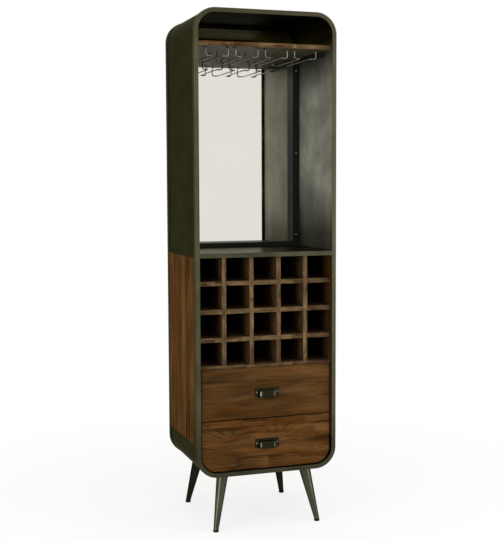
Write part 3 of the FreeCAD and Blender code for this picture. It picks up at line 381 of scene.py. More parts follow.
def oiled_wood(name, tones, along, across, stave, joint, block, seed, ring=9 * MM, figure=4.0,
               shade=1.0, warm=0.2, sheen_level=0.04, patch=(230, 50), shares=(2.2, 1.5, 1.0, 0.5),
               short=None, eyes=(), patches=(), painted_shade=None):
    """Staves of flat-sawn hardwood, glued side by side and rubbed with oil.

    The eye sees each stave in a tone of its own, clouds and long streaks with the grain, redder and
    greyer patches, growth rings that close into arches where a board was sawn flat, and a dull
    sheen on the fibres.

    A stave's width, the place of one joint and the length of a block set out the boards. The patch
    is the size of the clouds in millimetres, and the shares say how much clouds, streaks, rings and
    fibres move the tone. Figure bends the rings, and warm is the average share of red.
    """
    dark, light, red = (tuple(c * shade for c in tone) for tone in tones)
    material, tree, shader, place = start_material(name)
    axes = add(tree, SPLIT, {0: place}, out=None)
    u, v, w = axes[along], axes[across], axes[3 - along - across]
    grain = add(tree, COMBINE, {0: u, 1: v, 2: w})

    # The grain wanders a few millimetres from side to side.
    slow = add(tree, VECTOR, {0: grain, 1: per_metre(*BENDS_MM)}, operation="MULTIPLY")
    wander = add(tree, NOISE, {"Vector": slow, "Scale": 1.0, "Detail": 1.0})
    bent = add(tree, MATH, {0: wander, 1: GRAIN_WANDER, 2: v}, operation="MULTIPLY_ADD")
    grain = add(tree, COMBINE, {0: u, 1: bent, 2: w})

    # Each stave has a row number, and each block in it a column number and random values, which
    # also give it a place of its own in the noise. A row starts up to seven blocks along.
    row_place = add(tree, MATH, {0: v, 1: 1 / stave, 2: -joint / stave}, operation="MULTIPLY_ADD")
    row = add(tree, MATH, {0: row_place}, operation="FLOOR")
    row_seed = add(tree, COMBINE, {0: row, 1: seed})
    row_random = add(tree, RANDOM, {"Vector": row_seed}, out="Value", noise_dimensions="2D")
    shift = add(tree, MATH, {0: row_random, 1: 7.0}, operation="MULTIPLY")
    per_block = 1 / block
    if short:
        # The row just under the joint is one wide board, and the others are short blocks.
        whole = add(tree, MATH, {0: row, 1: -1.0, 2: 0.5}, operation="COMPARE")
        per_block = add(tree, RANGE, {"Value": whole, "To Min": 1 / short, "To Max": 1 / block})
    column_place = add(tree, MATH, {0: u, 1: per_block, 2: shift}, operation="MULTIPLY_ADD")
    column = add(tree, MATH, {0: column_place}, operation="FLOOR")
    board = add(tree, COMBINE, {0: row, 1: column, 2: seed})
    chance = add(tree, RANDOM, {"Vector": board}, out=None, noise_dimensions="3D")
    redness = add(tree, SPLIT, {0: chance["Color"]}, out=Z)
    start = add(tree, VECTOR, {0: chance["Color"], 1: (40, 40, 40)}, operation="MULTIPLY")

    def grown(long_mm, wide_mm, detail, roughness=0.55):
        """Noise whose spots are this long and wide, apart for each block."""
        spread = add(tree, VECTOR, {0: grain, 1: per_metre(long_mm, wide_mm), 2: start},
                     operation="MULTIPLY_ADD")
        return add(tree, NOISE, {"Vector": spread, "Scale": 1.0, "Detail": detail,
                                 "Roughness": roughness, "Distortion": 0.3})

    def swelling(at_u, at_v, reach_u, reach_v):
        """A soft hump of 1 at this place on the board, gone beyond its reach."""
        off = add(tree, VECTOR, {0: grain, 1: (at_u, at_v + GRAIN_WANDER / 2, 0)}, operation="SUBTRACT")
        off = add(tree, VECTOR, {0: off, 1: (1 / reach_u, 1 / reach_v, 0)}, operation="MULTIPLY")
        far = add(tree, VECTOR, {0: off, 1: off}, out="Value", operation="DOT_PRODUCT")
        far = add(tree, MATH, {0: far, 1: -1.0}, operation="MULTIPLY")
        return add(tree, MATH, {0: far}, operation="EXPONENT")

    clouds = grown(*patch, 2.0)
    streaks = grown(*STREAKS_MM, 3.0, 0.6)
    ruddy = grown(patch[0] * 0.7, patch[1] * 0.6, 2.0)
    fibres = grown(*FIBRES_MM, 3.0)

    # Growth rings run with the grain over a long swell, and close round each eye of the board.
    swell = grown(*SWELL_MM, 1.0)
    turns = add(tree, MATH, {0: bent, 1: 1 / ring}, operation="MULTIPLY")
    turns = add(tree, MATH, {0: swell, 1: figure, 2: turns}, operation="MULTIPLY_ADD")
    for *spot, rings in eyes:
        turns = add(tree, MATH, {0: swelling(*spot), 1: rings, 2: turns}, operation="MULTIPLY_ADD")
    year = add(tree, MATH, {0: turns}, operation="FRACT")
    late = add(tree, MATH, {0: year, 1: 3.0}, operation="POWER")
    late = add(tree, MATH, {0: late, 1: streaks}, operation="MULTIPLY")

    # The tone is the stave's own, moved by its clouds, streaks, rings and fibres, each of which
    # leaves it as it is at the middle of its range.
    darkest, palest = STAVE_TONES
    tone = add(tree, RANGE, {"Value": chance["Value"], "To Min": darkest, "To Max": palest})
    early = add(tree, MATH, {0: 1.0, 1: late}, operation="SUBTRACT")
    for pattern, middle, share in zip((clouds, streaks, early, fibres), (0.5, 0.5, 0.88, 0.5), shares):
        level = add(tree, MATH, {0: pattern, 1: share, 2: -middle * share}, operation="MULTIPLY_ADD")
        tone = add(tree, MATH, {0: tone, 1: level}, operation="ADD")
    for *spot, lift in patches:
        tone = add(tree, MATH, {0: swelling(*spot), 1: lift, 2: tone}, operation="MULTIPLY_ADD")
    brown = add(tree, MIX, {0: tone, 6: (*dark, 1), 7: (*light, 1)}, out=2, data_type="RGBA")
    cooler = warm - (RED_BY_BLOCK + RED_BY_PATCH) / 2
    redness = add(tree, MATH, {0: redness, 1: RED_BY_BLOCK, 2: cooler}, operation="MULTIPLY_ADD")
    redness = add(tree, MATH, {0: ruddy, 1: RED_BY_PATCH, 2: redness}, operation="MULTIPLY_ADD")
    wood = add(tree, MIX, {0: redness, 6: brown, 7: (*red, 1)}, out=2, data_type="RGBA")

    # A thin dark line marks each glued joint.
    inside = add(tree, MATH, {0: row_place}, operation="FRACT")
    from_middle = add(tree, MATH, {0: inside, 1: 0.5}, operation="SUBTRACT")
    from_middle = add(tree, MATH, {0: from_middle}, operation="ABSOLUTE")
    seam = add(tree, MATH, {0: from_middle, 1: 0.5 - HALF_GLUE_LINE / stave}, operation="GREATER_THAN")
    seam = add(tree, MATH, {0: seam, 1: 0.4}, operation="MULTIPLY")
    glue = tuple(c * 0.4 for c in dark)
    wood = add(tree, MIX, {0: seam, 6: wood, 7: (*glue, 1)}, out=2, data_type="RGBA")
    # Painted shade: the tone goes dark where the mask shows, deep in the cells or under a shelf.
    if painted_shade:
        shade_tone, mask = painted_shade
        cover = add(tree, MATH, {0: mask(tree, place), 1: PAINTED_SHADE_COVER}, operation="MULTIPLY")
        wood = add(tree, MIX, {0: cover, 6: wood, 7: (*shade_tone, 1)}, out=2, data_type="RGBA")
    tree.links.new(wood, shader.inputs["Base Color"])

    sheen = add(tree, RANGE, {"Value": fibres, "From Min": NOISE_LOW, "From Max": NOISE_HIGH,
                              "To Min": 0.4, "To Max": 0.58})
    tree.links.new(sheen, shader.inputs["Roughness"])
    relief = add(tree, "ShaderNodeBump", {"Height": fibres, "Strength": 0.25, "Distance": 0.3 * MM})
    tree.links.new(relief, shader.inputs["Normal"])
    shader.inputs["Specular IOR Level"].default_value = sheen_level
    shader.inputs["Specular Tint"].default_value = (*linear(OIL_SHEEN), 1)
    return material


def satin_steel(name, steel, tones, roughness, along=Z, edge="AFAD9E", streaks=0.35, other=None):
    """Sheet, bar or cast steel with a waxed dark patina.

    The eye sees soft clouds in the patina, faint lines where it was brushed, and a broad
    satin highlight whose edges follow those lines. The edge colour tints what it reflects
    at a slant. Other tones, duller by a given roughness, can cover a part of it.
    """
    material, tree, shader, place = start_material(name)
    clouds = add(tree, NOISE, {"Vector": place, "Scale": 1 / steel.cloud, "Detail": 4.0,
                               "Roughness": 0.6, "Distortion": 0.5})
    lines = [1 / steel.brush] * 3
    lines[along] /= BRUSH_STRETCH
    brushed = add(tree, VECTOR, {0: place, 1: lines}, operation="MULTIPLY")
    brushing = add(tree, NOISE, {"Vector": brushed, "Scale": 1.0, "Detail": 3.0})
    cloudy = add(tree, MATH, {0: clouds, 1: 1 - streaks}, operation="MULTIPLY")
    both = add(tree, MATH, {0: brushing, 1: streaks, 2: cloudy}, operation="MULTIPLY_ADD")
    tone = add(tree, RANGE, {"Value": both, "From Min": 0.32, "From Max": 0.68})
    dark, light = tones
    patina = add(tree, MIX, {0: tone, 6: (*dark, 1), 7: (*light, 1)}, out=2, data_type="RGBA")
    if other:
        (dark, light), mask, duller = other
        shown = mask(tree, place)
        second = add(tree, MIX, {0: tone, 6: (*dark, 1), 7: (*light, 1)}, out=2, data_type="RGBA")
        patina = add(tree, MIX, {0: shown, 6: patina, 7: second}, out=2, data_type="RGBA")
    tree.links.new(patina, shader.inputs["Base Color"])
    satin = add(tree, RANGE, {"Value": both, "From Min": NOISE_LOW, "From Max": NOISE_HIGH,
                              "To Min": roughness - 0.06, "To Max": roughness + 0.08})
    if other and duller:
        satin = add(tree, MATH, {0: shown, 1: duller, 2: satin}, operation="MULTIPLY_ADD")
    tree.links.new(satin, shader.inputs["Roughness"])
    relief = add(tree, "ShaderNodeBump", {"Height": brushing, "Strength": 0.08, "Distance": 0.2 * MM})
    tree.links.new(relief, shader.inputs["Normal"])
    shader.inputs["Metallic"].default_value = 1.0
    shader.inputs["Specular Tint"].default_value = (*linear(edge), 1)
    return material


def grained_coat(name, base, roughness, grit, strength, lift=0.35):
    """Powder coat or moulded plastic: an even colour with a fine pebbled surface.

    The eye sees small soft glints where the pebbles catch the light.
    """
    material, tree, shader, place = start_material(name)
    pebbles = add(tree, NOISE, {"Vector": place, "Scale": 1 / grit, "Detail": 2.0})
    paler = tuple(min(1, c * (1 + lift) + 0.004) for c in base)
    tinted = add(tree, MIX, {0: pebbles, 6: (*base, 1), 7: (*paler, 1)}, out=2, data_type="RGBA")
    tree.links.new(tinted, shader.inputs["Base Color"])
    rubbed = add(tree, RANGE, {"Value": pebbles, "From Min": NOISE_LOW, "From Max": NOISE_HIGH,
                               "To Min": roughness - 0.07, "To Max": roughness + 0.07})
    tree.links.new(rubbed, shader.inputs["Roughness"])
    relief = add(tree, "ShaderNodeBump", {"Height": pebbles, "Strength": strength, "Distance": 0.2 * MM})
    tree.links.new(relief, shader.inputs["Normal"])
    shader.inputs["Specular IOR Level"].default_value = 0.03
    return material


def bright_zinc(steel):
    """Zinc plating on pressed steel: the eye sees small spangles of differing grey."""
    material, tree, shader, place = start_material("bright_zinc_plating")
    spangles = add(tree, "ShaderNodeTexVoronoi", {"Vector": place, "Scale": 1 / (6 * MM)}, out="Color")
    shade = add(tree, SPLIT, {0: spangles})
    plated = add(tree, MIX, {0: shade, 6: (*steel.zinc_dark, 1), 7: (*steel.zinc_light, 1)},
                 out=2, data_type="RGBA")
    tree.links.new(plated, shader.inputs["Base Color"])
    satin = add(tree, RANGE, {"Value": shade, "To Min": 0.3, "To Max": 0.42})
    tree.links.new(satin, shader.inputs["Roughness"])
    shader.inputs["Metallic"].default_value = 1.0
    return material


def silvered_glass(parts):
    """Mirror glass: the eye sees a sharp reflection, a little softened by a film of dust."""
    material, tree, shader, place = start_material("silvered_mirror_glass")
    film = add(tree, NOISE, {"Vector": place, "Scale": 1 / (180 * MM), "Detail": 5.0})
    haze = add(tree, RANGE, {"Value": film, "From Min": 0.4, "From Max": 0.75,
                             "To Min": 0.012, "To Max": 0.05})
    tree.links.new(haze, shader.inputs["Roughness"])
    dull = tuple(c * 0.94 for c in parts.glass)
    tinted = add(tree, MIX, {0: film, 6: (*parts.glass, 1), 7: (*dull, 1)}, out=2, data_type="RGBA")
    tree.links.new(tinted, shader.inputs["Base Color"])
    shader.inputs["Metallic"].default_value = 1.0
    return material


def screw_nodes():
    """Geometry nodes that seat a button-headed socket screw on each point, facing its own way."""
    tree = bpy.data.node_groups.new("seated_screws", "GeometryNodeTree")
    face = tree.interface
    face.new_socket("Geometry", in_out="INPUT", socket_type="NodeSocketGeometry")
    for name in ("Head Diameter", "Head Rise", "Socket Depth"):
        socket = face.new_socket(name, in_out="INPUT", socket_type="NodeSocketFloat")
        socket.subtype = "DISTANCE"
    face.new_socket("Finish", in_out="INPUT", socket_type="NodeSocketMaterial")
    face.new_socket("Geometry", in_out="OUTPUT", socket_type="NodeSocketGeometry")
    given = add(tree, "NodeGroupInput", out=None)
    radius = add(tree, MATH, {0: given["Head Diameter"], 1: 0.5}, operation="MULTIPLY")
    rim = add(tree, MATH, {0: given["Head Rise"], 1: RIM_SHARE}, operation="MULTIPLY")
    dome = add(tree, MATH, {0: given["Head Rise"], 1: DOME_SHARE}, operation="MULTIPLY")
    down = add(tree, MATH, {0: given["Socket Depth"], 1: -1.0}, operation="MULTIPLY")
    blank = add(tree, "GeometryNodeMeshCylinder",
                {"Vertices": SCREW_SIDES, "Radius": radius, "Depth": rim}, out=None, fill_type="NGON")
    head, top = blank["Mesh"], blank["Top"]
    # Two steps round the head off, the third draws the socket's edge and the last sinks it.
    for lift, taper in ((dome, 0.84), (dome, 0.7), (0.0, 0.62), (down, 1.0)):
        step = add(tree, "GeometryNodeExtrudeMesh",
                   {"Mesh": head, "Selection": top, "Offset Scale": lift}, out=None, mode="FACES")
        top = step["Top"]
        head = add(tree, "GeometryNodeScaleElements",
                   {"Geometry": step["Mesh"], "Selection": top, "Scale": taper})
    heading = add(tree, "GeometryNodeInputNamedAttribute", {"Name": "facing"}, data_type="FLOAT_VECTOR")
    turn = add(tree, "FunctionNodeAlignRotationToVector", {"Vector": heading}, axis="Z")
    seated = add(tree, "GeometryNodeInstanceOnPoints", {
        "Points": given["Geometry"], "Instance": head, "Rotation": turn})
    whole = add(tree, "GeometryNodeRealizeInstances", {0: seated})
    coated = add(tree, "GeometryNodeSetMaterial", {"Geometry": whole, "Material": given["Finish"]})
    add(tree, "NodeGroupOutput", {0: coated}, out=None)
    return tree


def seat_screws(name, body, spots, diameter, rise, material, slot):
    """One plain mesh of screws, each seated on its spot and facing its own way."""
    tree = bpy.data.node_groups.get("seated_screws") or screw_nodes()
    points = bpy.data.meshes.new(f"{name}_points")
    points.from_pydata([spot + heading * rise * RIM_SHARE / 2 for spot, heading in spots], [], [])
    facing = points.attributes.new("facing", "FLOAT_VECTOR", "POINT")
    for row, (_, heading) in zip(facing.data, spots):
        row.vector = heading
    carrier = bpy.data.objects.new(f"{name}_carrier", points)
    bpy.context.scene.collection.objects.link(carrier)
    modifier = carrier.modifiers.new("screws", "NODES")
    modifier.node_group = tree
    values = {"Head Diameter": diameter, "Head Rise": rise, "Socket Depth": rise * SOCKET_SHARE,
              "Finish": material}
    for item in tree.interface.items_tree:
        if item.item_type == "SOCKET" and item.in_out == "INPUT" and item.name in values:
            modifier[item.identifier] = values[item.name]
    seen = carrier.evaluated_get(bpy.context.evaluated_depsgraph_get())
    mesh = bpy.data.meshes.new_from_object(seen)
    mesh.name = name
    bpy.data.objects.remove(carrier)
    take_up(name, mesh, body, slot)


def take_up(name, mesh, body, slot):
    """Links a finished mesh as a piece that moves with the body."""
    piece = bpy.data.objects.new(name, mesh)
    bpy.context.scene.collection.objects.link(piece)
    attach(piece, body)


def below(top, rows):
    """The patches or eyes of a drawer front in metres, placed down from its top."""
    return [(x * MM, top - down * MM, along * MM, across * MM, amount)
            for x, down, along, across, amount in rows]


def part_way(low, high, share):
    """The place at this share of the way from low to high."""
    return low + (high - low) * share


def shown_rays(tree):
    """1 for rays that show the stage: to the camera, off a shiny surface or through a clear one."""
    path = add(tree, "ShaderNodeLightPath", out=None)
    shown = add(tree, MATH, {0: path["Is Camera Ray"], 1: path["Is Glossy Ray"]}, operation="MAXIMUM")
    return add(tree, MATH, {0: shown, 1: path["Is Transmission Ray"]}, operation="MAXIMUM")


def make_floor(scene, stage):
    """Matt floor that the eye sees as white, with a soft shadow under and round the cabinet."""
    material, tree, shader, place = start_material("pale_studio_floor")
    tree.nodes.remove(shader)
    away = add(tree, VECTOR, {0: place}, out="Value", operation="LENGTH")
    near, far = FLOOR_CLEARS
    clear = add(tree, RANGE, {"Value": away, "From Min": near, "From Max": far, "To Min": FLOOR_GLOW},
                interpolation_type="SMOOTHSTEP")
    bare = add(tree, MATH, {0: clear, 1: shown_rays(tree)}, operation="MULTIPLY")
    matt = add(tree, "ShaderNodeBsdfDiffuse", {"Color": (*stage.floor, 1)})
    white = add(tree, "ShaderNodeEmission", {"Strength": 1.0})
    both = add(tree, "ShaderNodeMixShader", {0: bare, 1: matt, 2: white})
    tree.links.new(both, tree.nodes["Material Output"].inputs["Surface"])
    mesh = bpy.data.meshes.new("studio_floor")
    corners = ((-1, -1), (1, -1), (1, 1), (-1, 1))
    mesh.from_pydata([(x * FLOOR_REACH, y * FLOOR_REACH, -FLOOR_DROP) for x, y in corners], [],
                     [(0, 1, 2, 3)])
    mesh.materials.append(material)
    floor = bpy.data.objects.new("studio_floor", mesh)
    scene.collection.objects.link(floor)


def make_surroundings(scene, stage):
    """Even light from all round, which is white wherever it shows."""
    world = bpy.data.worlds.new("soft_white_surroundings")
    world.use_nodes = True
    scene.world = world
    tree = world.node_tree
    strength = add(tree, RANGE, {"Value": shown_rays(tree), "To Min": stage.ambient, "To Max": 1.0})
    background = tree.nodes["Background"]
    background.inputs["Color"].default_value = (1, 1, 1, 1)
    tree.links.new(strength, background.inputs["Strength"])


def hang_lamps(scene, stage):
    """Large soft lamps, all turned to the middle of the cabinet."""
    for name, setting, place, size in LAMPS:
        lamp = bpy.data.lights.new(name, "AREA")
        lamp.shape = "RECTANGLE"
        lamp.size, lamp.size_y = size
        lamp.energy = getattr(stage, setting)
        holder = bpy.data.objects.new(name, lamp)
        scene.collection.objects.link(holder)
        spot = Vector(place)
        turn = (Vector(LAMP_AIM) - spot).to_track_quat("-Z", "Y").to_matrix().to_4x4()
        holder.matrix_world = Matrix.Translation(spot) @ turn


def set_camera(scene):
    """The camera of the photograph, as it was solved from the cabinet's own edges."""
    yaw, pitch, roll = (math.radians(angle) for angle in VIEW_ANGLES)
    ahead = Vector((math.sin(yaw) * math.cos(pitch), math.cos(yaw) * math.cos(pitch), -math.sin(pitch)))
    level = Vector((math.cos(yaw), -math.sin(yaw), 0))
    rise = level.cross(ahead)
    right = level * math.cos(roll) + rise * math.sin(roll)
    up = rise * math.cos(roll) - level * math.sin(roll)
    view = bpy.data.cameras.new("photo_view")
    view.sensor_fit = "VERTICAL"
    view.sensor_height = VIEW_SENSOR_MM
    view.lens = VIEW_LENS_MM
    camera = bpy.data.objects.new("photo_view", view)
    scene.collection.objects.link(camera)
    turn = Matrix((right, up, -ahead)).transposed().to_4x4()
    camera.matrix_world = Matrix.Translation(Vector(VIEW_PLACE)) @ turn
    scene.camera = camera


class CABINET_OT_steel_shell(bpy.types.Operator):
    """Finishes the sheet steel shell, its two frames and the counter"""
    bl_idname = "cabinet.steel_shell"
    bl_label = "Steel shell"

    def execute(self, context):
        steel = context.scene.cabinet_steel
        outside = (steel.shell_dark, steel.shell_light)
        inside = (steel.inside_dark, steel.inside_light)
        shaded = (steel.shaded_dark, steel.shaded_light)
        # Painted light: the shell's inner side takes the pale inside tones, with painted shade near the
        # roof, the mouth and the counter.
        shell = satin_steel("patinated_sheet_steel", steel, outside, roughness=0.5, streaks=0.2,
                            other=(inside, inner_painted_light, 0.47))
        dress(shell, *SHELL_NODES)
        # Painted shade: the frames' foot, and more faintly their top, take the darker shaded tones.
        bars = satin_steel("waxed_frame_steel", steel, (steel.frame_dark, steel.frame_light),
                           roughness=0.46, other=(shaded, frame_painted_shade, 0))
        dress(bars, *FRAME_NODES)
        # The counter's two ends show on the outside, so they have the shell's patina.
        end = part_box("counter_shelf")[1].x
        ends = beyond(X, end - 1 * MM, end - 0.5 * MM, fold=True)
        counter = satin_steel("brushed_counter_steel", steel, (steel.counter_dark, steel.counter_light),
                              roughness=0.28, along=X, other=(outside, ends, 0.22))
        dress(counter, "counter_shelf")
        return {"FINISHED"}


class CABINET_OT_wooden_sides(bpy.types.Operator):
    """Finishes the two side panels, staves upright"""
    bl_idname = "cabinet.wooden_sides"
    bl_label = "Wooden sides"

    def execute(self, context):
        wood = context.scene.cabinet_walnut
        inner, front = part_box("side_panel_right")[0].xy
        inner_face = beyond(X, inner + 0.6 * MM, inner + 0.2 * MM, fold=True)
        # Painted shade darkens the panels' inner faces deep in the cells.
        deep = overlap(inner_face, deep_in_cells(front))
        sides = oiled_wood("oiled_walnut_sides", (wood.dark, wood.light, wood.red), Z, Y,
                           stave=wood.side_stave, joint=12 * MM, block=50.0, seed=3.0,
                           ring=wood.ring, shade=1.1, warm=0.04, sheen_level=0.0, patch=(240, 44),
                           shares=(1.3, 0.7, 0.3, 0.45), painted_shade=(wood.cell_painted_shade, deep))
        dress(sides, *SIDE_PANELS)
        return {"FINISHED"}


class CABINET_OT_wine_lattice(bpy.types.Operator):
    """Finishes the boards of the wine lattice, grain along each board, and the counter's core"""
    bl_idname = "cabinet.wine_lattice"
    bl_label = "Wine lattice"

    def execute(self, context):
        wood = context.scene.cabinet_walnut
        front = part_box("wine_shelf_1")[0].y
        # Painted shade darkens the boards deep in the cells.
        painted_shade = (wood.cell_painted_shade, deep_in_cells(front))
        tones = (wood.level_dark, wood.level_light, wood.taupe)
        level = oiled_wood("oiled_walnut_shelves", tones, X, Y, stave=70 * MM, joint=20 * MM,
                           block=330 * MM, seed=5.0, ring=wood.ring, patch=(60, 14), painted_shade=painted_shade)
        dress(level, *WINE_SHELVES)
        tones = (wood.upright_dark, wood.upright_light, wood.taupe)
        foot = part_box("wine_divider_1")[0].z
        darker_foot = (foot, front, 90 * MM, 400 * MM, -0.2)
        upright = oiled_wood("oiled_walnut_dividers", tones, Z, Y, stave=70 * MM, joint=20 * MM,
                             block=500 * MM, seed=7.0, ring=wood.ring, patch=(60, 14),
                             patches=(darker_foot,), painted_shade=painted_shade)
        dress(upright, *DIVIDERS)
        tones = (wood.back_dark, wood.back_light, wood.back_dark)
        core = oiled_wood("raw_counter_core", tones, X, Y, stave=90 * MM, joint=0, block=1.0, seed=9.0)
        dress(core, "counter_core")
        return {"FINISHED"}


class CABINET_OT_drawer_fronts(bpy.types.Operator):
    """Finishes the two drawer fronts, grain level"""
    bl_idname = "cabinet.drawer_fronts"
    bl_label = "Drawer fronts"

    def execute(self, context):
        wood = context.scene.cabinet_walnut
        tones = (wood.dark, wood.light, wood.red)
        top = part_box("upper_drawer_front")[1].z
        upper = oiled_wood("oiled_walnut_upper_front", tones, X, Z, stave=wood.front_stave,
                           joint=top - 53 * MM, block=660 * MM, seed=11.0, ring=wood.ring, shade=0.74,
                           warm=0.16, patch=(240, 44), shares=(1.5, 0.5, 0.4, 0.9),
                           patches=below(top, UPPER_PATCHES))
        dress(upper, "upper_drawer_front")
        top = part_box("lower_drawer_front")[1].z
        lower = oiled_wood("oiled_walnut_lower_front", tones, X, Z, stave=wood.wide_board,
                           joint=top - 27 * MM, block=2.4, seed=13.0, ring=wood.flat_ring, figure=7.0,
                           shade=0.88, warm=0.36, shares=(2.4, 1.2, 0.9, 1.0), short=wood.short_block,
                           eyes=below(top, LOWER_EYES), patches=below(top, LOWER_PATCHES))
        dress(lower, "lower_drawer_front")
        return {"FINISHED"}


class CABINET_OT_drawer_boxes(bpy.types.Operator):
    """Finishes the sides, backs and bottoms of the two drawers"""
    bl_idname = "cabinet.drawer_boxes"
    bl_label = "Drawer boxes"

    def execute(self, context):
        wood = context.scene.cabinet_walnut
        tones = (wood.box_dark, wood.box_light, wood.box_light)
        long_sides = oiled_wood("lacquered_rubberwood_sides", tones, Y, Z, stave=62 * MM, joint=0,
                                block=450 * MM, seed=17.0)
        cross = oiled_wood("lacquered_rubberwood_backs", tones, X, Z, stave=62 * MM, joint=0,
                           block=450 * MM, seed=19.0)
        floor = oiled_wood("lacquered_rubberwood_bottoms", tones, X, Y, stave=110 * MM, joint=0,
                           block=2.0, seed=23.0)
        for drawer in DRAWERS:
            dress(long_sides, f"{drawer}_drawer_side_left", f"{drawer}_drawer_side_right")
            dress(cross, f"{drawer}_drawer_back")
            dress(floor, f"{drawer}_drawer_bottom")
        return {"FINISHED"}


class CABINET_OT_back_panels(bpy.types.Operator):
    """Finishes the two back panels"""
    bl_idname = "cabinet.back_panels"
    bl_label = "Back panels"

    def execute(self, context):
        wood = context.scene.cabinet_walnut
        tones = (wood.back_dark, wood.back_light, wood.back_dark)
        board = oiled_wood("stained_plywood_backs", tones, Z, X, stave=300 * MM, joint=100 * MM,
                           block=3.0, seed=29.0, ring=wood.flat_ring, figure=16.0)
        dress(board, *BACK_PANELS)
        return {"FINISHED"}


class CABINET_OT_mirror(bpy.types.Operator):
    """Finishes the mirror with its black stiles and rail, and the shelf's black cleats"""
    bl_idname = "cabinet.mirror"
    bl_label = "Mirror"

    def execute(self, context):
        parts = context.scene.cabinet_parts
        dress(silvered_glass(parts), "mirror_glass")
        coat = grained_coat("black_powder_coat", parts.coat, roughness=0.42, grit=1.2 * MM, strength=0.3)
        dress(coat, *STILES, "mirror_rail", "shelf_cleats")
        return {"FINISHED"}


class CABINET_OT_stemware(bpy.types.Operator):
    """Finishes the stemware shelf and its hanging wire racks"""
    bl_idname = "cabinet.stemware"
    bl_label = "Stemware shelf and racks"

    def execute(self, context):
        wood = context.scene.cabinet_walnut
        steel = context.scene.cabinet_steel
        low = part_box("stemware_shelf")[0].z
        # Painted shade: the shelf's underside is grey.
        underside = beyond(Z, low + 0.5 * MM, low + 0.1 * MM)
        tones = (wood.level_dark, wood.level_light, wood.red)
        shelf = oiled_wood("oiled_walnut_stemware_shelf", tones, X, Y, stave=66 * MM, joint=10 * MM,
                           block=360 * MM, seed=31.0, ring=wood.ring, shade=1.35, patch=(120, 24),
                           painted_shade=(wood.underside_painted_shade, underside))
        dress(shelf, "stemware_shelf")
        wire = satin_steel("drawn_rack_wire", steel, (steel.wire_dark, steel.wire_light),
                           roughness=0.32, along=Y, edge="E7E7E4")
        dress(wire, *RACKS)
        return {"FINISHED"}


class CABINET_OT_slides(bpy.types.Operator):
    """Finishes the drawer slides with their bearing strips, and the bolts of the legs"""
    bl_idname = "cabinet.slides"
    bl_label = "Drawer slides"

    def execute(self, context):
        parts = context.scene.cabinet_parts
        zinc = bright_zinc(context.scene.cabinet_steel)
        strips = grained_coat("moulded_acetal", parts.bearing, roughness=0.4, grit=1.5 * MM,
                              strength=0.15, lift=0.05)
        for drawer in DRAWERS:
            dress(zinc, *(f"{drawer}_slide_{member}_members" for member in ("cabinet", "middle", "drawer")))
            dress(strips, f"{drawer}_slide_bearings")
        dress(zinc, "leg_bolts")
        return {"FINISHED"}


class CABINET_OT_pulls(bpy.types.Operator):
    """Finishes the cast cup pulls and their screws"""
    bl_idname = "cabinet.pulls"
    bl_label = "Cup pulls"

    def execute(self, context):
        steel = context.scene.cabinet_steel
        turned = satin_steel("turned_screw_steel", steel, (steel.wire_dark, steel.wire_light),
                             roughness=0.26)
        for drawer in DRAWERS:
            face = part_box(f"{drawer}_pull_screws")[0].y
            low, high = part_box(f"{drawer}_pull")
            middle = (low.z + high.z) / 2
            # Painted highlights: the two ends of the cup, in front of its plate, are painted bright where
            # glints fall.
            rubbed = overlap(beyond(X, 25 * MM, 31 * MM, fold=True), beyond(Y, face, face - 1 * MM),
                             beyond(Z, middle + 7 * MM, middle + 2 * MM),
                             beyond(Z, middle - 14 * MM, middle - 7 * MM))
            iron = satin_steel(f"rubbed_cast_iron_{drawer}", steel, (steel.iron_dark, steel.iron_light),
                               roughness=0.2, along=X, edge="E7E7CE",
                               other=((steel.iron_light, steel.iron_painted_glint), rubbed, 0))
            dress(iron, f"{drawer}_pull")
            dress(turned, f"{drawer}_pull_screws")
        return {"FINISHED"}


class CABINET_OT_legs(bpy.types.Operator):
    """Finishes the legs, their plates and their foot caps"""
    bl_idname = "cabinet.legs"
    bl_label = "Legs"

    def execute(self, context):
        steel = context.scene.cabinet_steel
        parts = context.scene.cabinet_parts
        # Painted shade: the rear pair is darker.
        rear = beyond(Y, -40 * MM, 40 * MM)
        tube = satin_steel("brushed_leg_steel", steel, (steel.leg_dark, steel.leg_light),
                           roughness=0.18, edge="45453F",
                           other=((steel.iron_dark, steel.shell_dark), rear, 0))
        dress(tube, *LEGS, "leg_plates")
        caps = grained_coat("moulded_black_plastic", parts.cap, roughness=0.5, grit=1.0 * MM, strength=0.3)
        dress(caps, "foot_caps")
        return {"FINISHED"}


class CABINET_OT_brackets(bpy.types.Operator):
    """Makes the small bent brackets that tie two dividers to the counter"""
    bl_idname = "cabinet.brackets"
    bl_label = "Divider brackets"

    def execute(self, context):
        parts = context.scene.cabinet_parts
        leg, width, sheet = parts.bracket_leg, parts.bracket_width, parts.bracket_sheet
        outline = [(0, 0), (-leg, 0), (-leg, -sheet), (-2 * sheet, -sheet), (-sheet, -2 * sheet),
                   (-sheet, -leg), (0, -leg)]
        shape = bmesh.new()
        for divider in BRACKETED_DIVIDERS:
            low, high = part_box(divider)
            x, y, z = low.x, low.y + BRACKET_INSET, high.z
            rings = [[shape.verts.new((x + px, y + side, z + pz)) for px, pz in outline]
                     for side in (0, width)]
            shape.faces.new(rings[0])
            shape.faces.new(rings[1][::-1])
            for at in range(len(outline)):
                after = (at + 1) % len(outline)
                shape.faces.new((rings[0][after], rings[0][at], rings[1][at], rings[1][after]))
        bmesh.ops.recalc_face_normals(shape, faces=shape.faces)
        bmesh.ops.bevel(shape, geom=shape.edges[:], offset=BRACKET_EDGE, segments=2, affect="EDGES")
        mesh = bpy.data.meshes.new("divider_brackets")
        shape.to_mesh(mesh)
        shape.free()
        mesh.materials.append(bpy.data.materials["black_powder_coat"])
        take_up("divider_brackets", mesh, "cabinet", SLOTS["shelf_cleats"])
        return {"FINISHED"}


